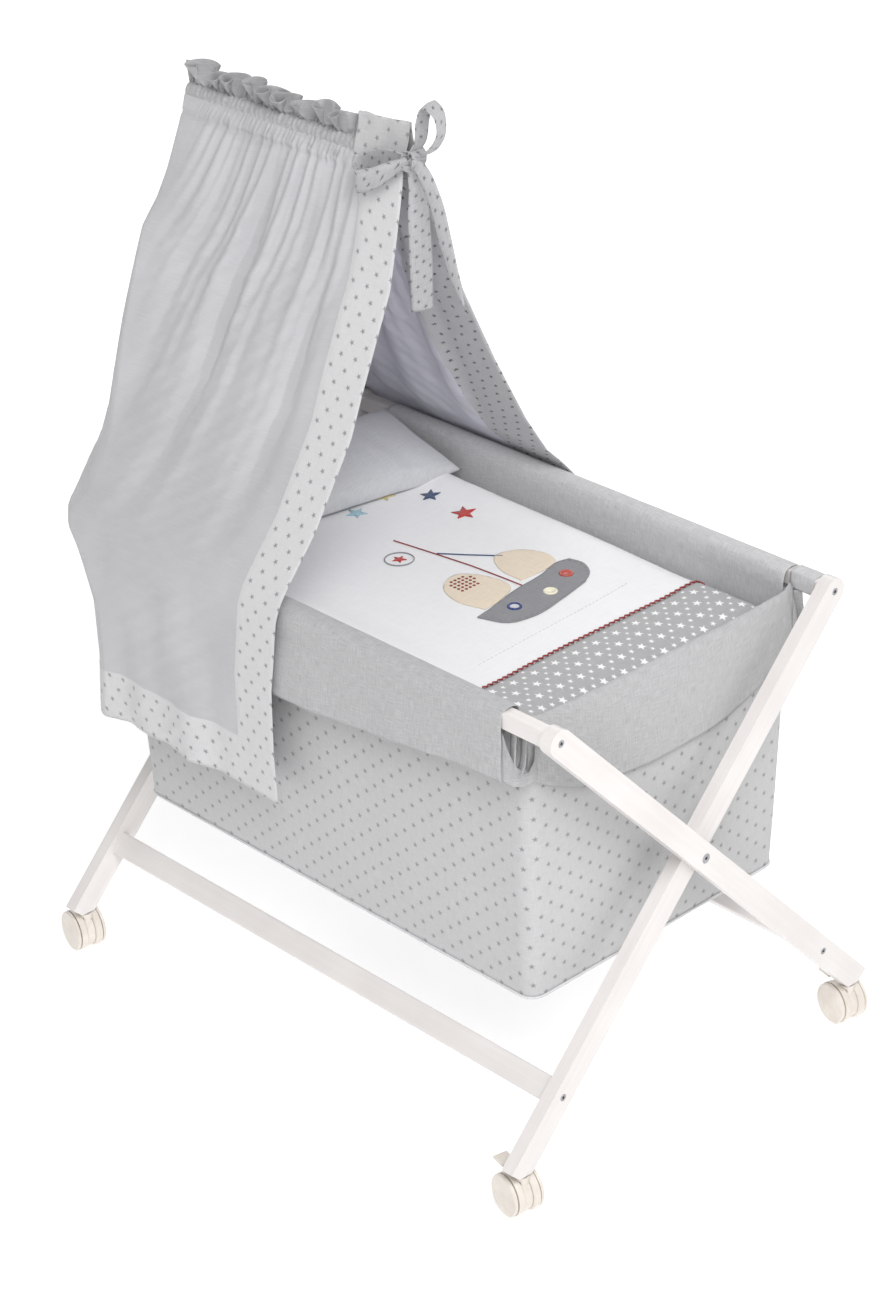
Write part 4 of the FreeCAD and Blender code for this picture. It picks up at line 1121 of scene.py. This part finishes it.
def curtain(mats):
    """The gathered curtain: one sheet from the casing over both rails to its hem, with star-print borders."""
    columns, rows = 541, 150
    u = np.linspace(0, 1, columns)
    down = np.linspace(0, 1, rows) ** 1.22
    hem = CURTAIN_HEM - 0.014 * np.exp(-((u - 0.30) / 0.06) ** 2)
    hem = hem + 0.145 * smooth_step(u, 0.33, 0.44) * (1 - smooth_step(u, 0.56, 0.67))
    brow = CASING_LINE - 0.005 * smooth_step(0.055 - np.abs(u - 0.5), -0.03, 0.03)
    points = np.zeros((rows, columns, 3))
    for j in range(rows):
        z_mean = CASING_LINE - (CASING_LINE - CURTAIN_HEM) * down[j]
        points[j, :, :2] = canopy_plan(z_mean, columns)
        points[j, :, 2] = brow - (brow - hem) * down[j]
    outward = np.stack([-np.gradient(points[..., 1], axis=1), np.gradient(points[..., 0], axis=1)], axis=-1)
    outward /= np.maximum(np.linalg.norm(outward, axis=-1, keepdims=True), 1e-9)
    z = points[..., 2]
    along = lengths_along(points, 1)
    share = along / along[:, -1:]
    body = smooth_step(share, 0.05, 0.12) * (1 - smooth_step(share, 0.88, 0.95))
    head_calm = 1 - 0.75 * np.exp(-((share - 0.5) / 0.13) ** 2)
    fall = CASING_LINE - z
    span = share * 1.5
    corner = np.argmin(points[..., 0] * 0.686 + points[..., 1] * 0.728, axis=1)
    corner_share = share[np.arange(rows), corner][:, None]
    calm = 1 - np.exp(-((share - corner_share) / 0.055) ** 2)
    strip = smooth_step(fall, 0.004, 0.010) * smooth_step(fall, 0.034, 0.024)
    creases = 0.0026 * waves(span + 0.004 * np.sin(190 * z), (0.0125, 0.0098, 0.0165), 61) * strip
    fan = span + 0.012 * np.sin(6 * z)
    pleats = waves(fan, (0.044, 0.031, 0.064), 65)
    pleats = 0.0088 * np.sign(pleats) * np.abs(pleats) ** 0.75
    pleats = pleats * smooth_step(fall, 0.010, 0.045) * np.exp(-fall / 0.17)
    folds = 0.0165 * waves(span + 0.016 * np.sin(9 * z), (0.088, 0.062, 0.121), 62)
    folds *= smooth_step(fall, 0.03, 0.14) * np.exp(-fall / 0.36)
    drapes = 0.0105 * waves(span + 0.026 * np.sin(5 * z), (0.17, 0.12, 0.25), 63)
    drapes *= smooth_step(fall, 0.05, 0.3) * (0.35 + 0.65 * smooth_step(np.abs(z - 0.73), 0.03, 0.16))
    slight = 0.0015 * waves(span * 0.7 + z * 0.9, (0.052, 0.031), 66) * smooth_step(fall, 0.05, 0.2)
    hang = 0.008 * waves(span, (0.16, 0.23, 0.11), 64) * smooth_step(0.70 - z, 0.0, 0.22)
    seams = np.exp(-((fall - 0.003) / 0.0022) ** 2) + np.exp(-((fall - 0.029) / 0.0022) ** 2)
    swell = (creases + pleats + folds + drapes + slight) * body * head_calm + hang * (0.3 + 0.7 * body)
    swell = swell * calm - 0.0018 * seams * body
    over_rail = np.exp(-((z - 0.725) / 0.05) ** 2)
    swell = swell * (1 - 0.8 * over_rail) + 0.002 * over_rail
    swell = np.maximum(swell, -0.0085)
    points[..., :2] += outward * swell[..., None]
    across = lengths_along(points, 1)
    length = lengths_along(points, 0)
    uv = np.stack([across, -length], axis=-1)
    left = length[-1:, :] - length
    slots, raised = np.zeros((rows - 1, columns - 1)), np.zeros((rows, columns))
    for grid, value in ((slots, 2), (raised, 1)):
        grid[:, :BORDER_COLUMNS] = value
        grid[:, -BORDER_COLUMNS:] = value
        grid[left[:len(grid), :grid.shape[1]] < HEM_BORDER] = value
    points[..., :2] += outward * (0.0011 * raised)[..., None]
    # Back faces take the lining, whose lightness is partly painted light for light through the curtain.
    faces = [mats[name] for name in ("satin", "lining", "border_cotton", "border_back")]
    cloth = sheet_mesh("canopy_cloth", points, uv, faces, slots=slots)
    thicken(cloth, 0.0012, offset=0, inner=1)
    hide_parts("canopy_curtain")
    return cloth


def casing(mats):
    """The gathered tube of cloth round the arm, below the ruffle."""
    x = np.linspace(-0.502, -0.150, 240)
    turn = np.linspace(0, 2 * math.pi, 29)
    gx, ga = np.meshgrid(x, turn)
    gather = waves(gx, (0.0105, 0.0072, 0.0160), 71)
    twist = waves(gx + 0.004 * np.sin(2 * ga), (0.008, 0.0125), 72)
    radius = 0.0112 + 0.0013 * gather + 0.0009 * twist
    calm = smooth_step(gx, -0.50, -0.44)
    radius = 0.0108 + (radius - 0.0108) * (0.2 + 0.8 * calm)
    points = np.stack([gx, radius * np.cos(ga), 1.270 + radius * 1.15 * np.sin(ga)], axis=-1)
    uv = np.stack([gx * 2, ga * 0.011], axis=-1)
    tube_cloth = sheet_mesh("arm_casing", points, uv, [mats["ruffle"]], weld=True)
    thicken(tube_cloth, 0.001, offset=-1)
    return tube_cloth


def ruffle(mats):
    """The frill that stands above the casing in loose S-shaped waves."""
    count, rows = 680, 15
    s = np.linspace(0, 1, count)
    rng = np.random.default_rng(73)
    start, end = -0.505, -0.152
    knots = np.linspace(0, 1, 17)
    phase = np.interp(s, knots, np.r_[0, np.cumsum(rng.uniform(0.6, 1.5, 16))])
    phase = phase / phase[-1] * 9.5 * 2 * math.pi
    size = np.interp(s, knots, rng.uniform(0.75, 1.3, 17)) * (0.55 + 0.45 * smooth_step(s, 0.0, 0.06))
    tall = np.interp(s, knots, rng.uniform(0.8, 1.25, 17)) * (0.7 + 0.3 * smooth_step(s, 0.0, 0.03))
    points = np.zeros((rows, count, 3))
    for j in range(rows):
        h = j / (rows - 1)
        open_up = h**0.8
        sway = 0.0135 * size * open_up * np.sin(2 * phase + 0.4)
        points[j, :, 0] = start + (end - start) * s + sway - 0.008 * h * np.exp(-s / 0.06)
        points[j, :, 1] = 0.0175 * size * open_up * np.sin(phase) + 0.0026 * open_up * np.sin(3.3 * phase)
        lean = 0.0045 * np.sin(phase + 2.2) + 0.0045 * np.cos(2 * phase)
        points[j, :, 2] = 1.2815 + 0.027 * h * tall + lean * h**1.3
    points[..., 1] += 0.0018 * np.sin(4 * phase)[None] * (1 - np.linspace(0, 1, rows)[:, None])
    uv = np.stack([lengths_along(points, 1), points[..., 2]], axis=-1)
    frill = sheet_mesh("canopy_frill", points, uv, [mats["ruffle"]])
    thicken(frill, 0.0008, offset=0)
    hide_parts("canopy_ruffle")
    return frill


def front_strip(mats):
    """The flat star-print strip that folds over the end of the arm."""
    half = [(0.0012, 1.3195), (0.0022, 1.309), (0.0045, 1.297), (0.0095, 1.284), (0.0125, 1.273),
            (0.0125, 1.2635)]
    keys = [(-y, z) for y, z in reversed(half)] + half
    profile = evenly(np.array(keys), 61)
    x = np.linspace(-0.151, -0.053, 41)
    points = np.zeros((61, 41, 3))
    for i, spot in enumerate(x):
        rise = np.clip((profile[:, 1] - 1.27) / 0.05, 0, 1)
        ripple = 0.0012 * math.sin(i * 0.35) * rise
        points[:, i, 0] = spot
        points[:, i, 1] = profile[:, 0] + ripple
        points[:, i, 2] = profile[:, 1] + 0.001 * math.sin(i * 0.22) + 0.006 * rise * i / 40
    uv = np.stack([points[..., 0], lengths_along(points, 0)], axis=-1)
    strip = sheet_mesh("front_strip", points, uv, [mats["star_cotton"]])
    thicken(strip, 0.0012, offset=0)
    return strip


def ribbon(name, path, across, widths, material, count=70, cross=9, curl=0.0):
    """A flat ribbon along a path; across gives its width direction at each key point."""
    path = np.asarray(path, float)
    spine = curve_points(path, count)
    chord = running_length(path)
    spots = np.linspace(0, chord[-1], count)
    side = np.stack([np.interp(spots, chord, np.asarray(across, float)[:, k]) for k in range(3)], axis=1)
    side /= np.linalg.norm(side, axis=1, keepdims=True)
    width = np.interp(spots, chord, widths)
    along = np.gradient(spine, axis=0)
    along /= np.linalg.norm(along, axis=1, keepdims=True)
    side -= along * np.sum(side * along, axis=1, keepdims=True)
    side /= np.linalg.norm(side, axis=1, keepdims=True)
    normal = np.cross(along, side)
    t = np.linspace(-0.5, 0.5, cross)
    cup = curl * (0.25 - t**2)
    spread = side[None] * (t[:, None, None] * width[None, :, None])
    points = spine[None] + spread + normal[None] * cup[:, None, None]
    uv = np.stack([lengths_along(points, 1), lengths_along(points, 0)], axis=-1)
    strip = sheet_mesh(name, points, uv, [material])
    thicken(strip, 0.001, offset=0)
    return strip


def bow(mats):
    """A ribbon bow tied to the end of the arm: one loop over the strip, one upright, a knot and two tails."""
    # The ribbon cloth is a darker copy of the star cotton: painted shade.
    shaded_star_ribbon = mats["ribbon_painted_shade"]
    knot = np.array([-0.038, -0.0155, 1.284])
    low_loop = ribbon("loop_low", knot + np.array([
        (0, -0.002, -0.002), (-0.026, -0.008, -0.003), (-0.060, -0.010, -0.014), (-0.080, -0.017, -0.032),
        (-0.072, -0.031, -0.039), (-0.046, -0.027, -0.031), (-0.018, -0.014, -0.013), (0, -0.004, -0.002)]),
        [(0.1, -0.1, 1), (0.1, -0.1, 1), (0.2, -0.1, 1), (0.3, -0.1, 1), (0.3, -0.2, 1), (0.2, -0.2, 1),
         (0.1, -0.2, 1), (0.1, -0.2, 1)],
        [0.011, 0.023, 0.032, 0.036, 0.036, 0.032, 0.021, 0.011], shaded_star_ribbon, curl=0.009)
    high_loop = ribbon("loop_high", knot + np.array([
        (0, 0, 0.002), (0.012, 0.007, 0.024), (0.019, 0.006, 0.054), (0.033, 0.004, 0.080),
        (0.050, 0.005, 0.071), (0.053, 0.007, 0.049), (0.037, 0.006, 0.020), (0.004, 0.002, 0.002)]),
        [(0.3, 1, 0), (0.3, 1, 0), (0.2, 1, 0.2), (0, 1, 0.3), (-0.2, 1, 0.2), (-0.2, 1, 0), (0, 1, -0.2),
         (0.2, 1, 0)],
        [0.011, 0.018, 0.022, 0.023, 0.023, 0.021, 0.017, 0.011], shaded_star_ribbon, curl=0.006)
    tail_long = ribbon("tail_long", knot + np.array([
        (0, 0, 0), (0.018, 0.002, -0.012), (0.040, 0.004, -0.048), (0.060, 0.003, -0.102),
        (0.080, 0.001, -0.150), (0.098, -0.001, -0.180)]),
        [(0.8, 0.3, 0.5), (0.8, 0.3, 0.5), (0.9, 0.15, 0.4), (1, 0.1, 0.3), (1, 0, 0.3), (1, 0, 0.3)],
        [0.012, 0.020, 0.024, 0.024, 0.019, 0.002], shaded_star_ribbon, curl=0.008)
    tail_short = ribbon("tail_short", knot + np.array([
        (0, 0, 0), (0.000, 0.010, -0.026), (-0.004, 0.016, -0.085), (-0.006, 0.020, -0.155),
        (-0.008, 0.022, -0.222)]),
        [(0.3, 1, 0.1), (0.3, 1, 0.1), (0.3, 1, 0.1), (0.35, 1, 0.15), (0.4, 1, 0.3)],
        [0.012, 0.026, 0.032, 0.034, 0.031], shaded_star_ribbon, curl=0.008)
    turn = np.linspace(0, 2 * math.pi, 25)[:-1]
    wrap_path = []
    for angle in turn:
        x, z = 0.004 + 0.011 * math.cos(angle), 0.012 * math.sin(angle)
        wrap_path.append(knot + np.array([x, 0.002 + 0.006 * math.sin(angle) * 0.6, z]))
    wrap_path.append(wrap_path[0])
    wrap = ribbon("knot_wrap", wrap_path, [(0.3, 1, 0.3)] * len(wrap_path), [0.020] * len(wrap_path),
                  shaded_star_ribbon, count=60, curl=0.006)
    whole = join_meshes("star_ribbon_bow", [low_loop, high_loop, tail_long, tail_short, wrap])
    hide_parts("ribbon_bow")
    return whole


# ---------------------------------------------------------------- hard parts

def dress_cad(mats):
    """Better materials on the CAD nodes that stay as they are."""
    rules = {
        "caster": ("caster_foot", "caster_head", "frame_a_caster", "frame_b_caster"),
        "steel": ("frame_a_bolts", "frame_b_bolts", "frame_a_barrel", "frame_b_barrel", "pivot_"),
        "paint_bar": ("rail_near", "rail_far", "stretcher"),
        "paint_a": ("leg_foot_outer", "leg_head_inner"),
        "paint_b": ("leg_head_outer", "leg_foot_inner"),
        "white_plastic": ("pole_bracket", "clamp_knob", "pole_end_cap"),
        "white_metal": ("canopy_pole",),
    }
    for node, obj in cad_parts.items():
        found = [material for material, starts in rules.items() if node.startswith(starts)]
        if node.endswith(("_stem", "_axle")):
            found = ["steel"]
        if found:
            for slot in obj.material_slots:
                slot.material = mats[found[0]]


# ---------------------------------------------------------------- stage

def make_stage():
    """A pale floor, soft studio light and a white surround."""
    bpy.ops.mesh.primitive_plane_add(size=240, location=(0, 0, -0.0005))
    floor = bpy.context.object
    floor.name = "studio_floor"
    graph = Graph("studio_white", roughness=0.9)
    graph.color(rgb(240, 240, 240))
    graph.put(graph.shader.inputs["Emission Color"], (1, 1, 1, 1))
    graph.put(graph.shader.inputs["Emission Strength"], 0.42)
    floor.data.materials.append(graph.material)
    world = bpy.data.worlds.new("studio")
    world.use_nodes = True
    background = world.node_tree.nodes["Background"].inputs
    background["Color"].default_value = (1, 1, 1, 1)
    background["Strength"].default_value = 0.5
    bpy.context.scene.world = world
    bpy.context.scene.view_settings.view_transform = "Standard"
    lights = (
        ("key_light", (2.9, -1.75, 4.3), 190, 3.0),
        ("back_light", (-3.4, 3.2, 3.2), 60, 3.0),
    )
    for name, spot, power, size in lights:
        data = bpy.data.lights.new(name, "AREA")
        data.energy = power
        data.size = size
        light = bpy.data.objects.new(name, data)
        light.location = spot
        light.rotation_euler = (Vector((0, 0, 0.6)) - Vector(spot)).to_track_quat("-Z", "Y").to_euler()
        bpy.context.scene.collection.objects.link(light)


def make_camera():
    """The main view: from the foot end's near corner, looking down."""
    azimuth, elevation, roll = math.radians(46.7), math.radians(28.1), math.radians(-1.5)
    ground = math.cos(elevation)
    back = Vector((math.sin(azimuth) * ground, -math.cos(azimuth) * ground, math.sin(elevation)))
    level = Vector((math.cos(azimuth), math.sin(azimuth), 0))
    upright = back.cross(level)
    right = level * math.cos(roll) + upright * math.sin(roll)
    up = upright * math.cos(roll) - level * math.sin(roll)
    data = bpy.data.cameras.new("camera")
    data.lens = 90.8
    camera = bpy.data.objects.new("camera", data)
    turned = Matrix((right, up, back)).transposed().to_4x4()
    camera.matrix_world = Matrix.Translation((2.9405, -2.7944, 2.7328)) @ turned
    bpy.context.scene.collection.objects.link(camera)
    bpy.context.scene.camera = camera


# ---------------------------------------------------------------- put it together

def hold(pieces, body, flatten=True):
    """Each piece rides on its body; with flatten, each also gets its own copy of its mesh."""
    for piece in pieces:
        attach(piece, body)
        if flatten:
            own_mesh(piece)


mats = make_materials()
make_stage()
make_camera()
dress_cad(mats)

hold(basket(mats), "frame_a")
hold([side_band(mats, -1, "rail_band_near"), side_band(mats, 1, "rail_band_far")], "frame_a")
hold([end_band(mats, 1, "end_band_foot"), end_band(mats, -1, "end_band_head")], "frame_a")
hold(corner_gussets(mats), "frame_a")
hold([rail_cuff(mats)], "frame_b", flatten=False)
hold(shelf_pieces(mats), "frame_a")

pad = quilt(mats)
hold([mattress(mats), pad, *quilt_pictures(mats, pad), pillow(mats)], "bedding")

for piece in (curtain(mats), casing(mats), ruffle(mats), front_strip(mats), bow(mats)):
    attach(piece, "canopy")
    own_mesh(piece)
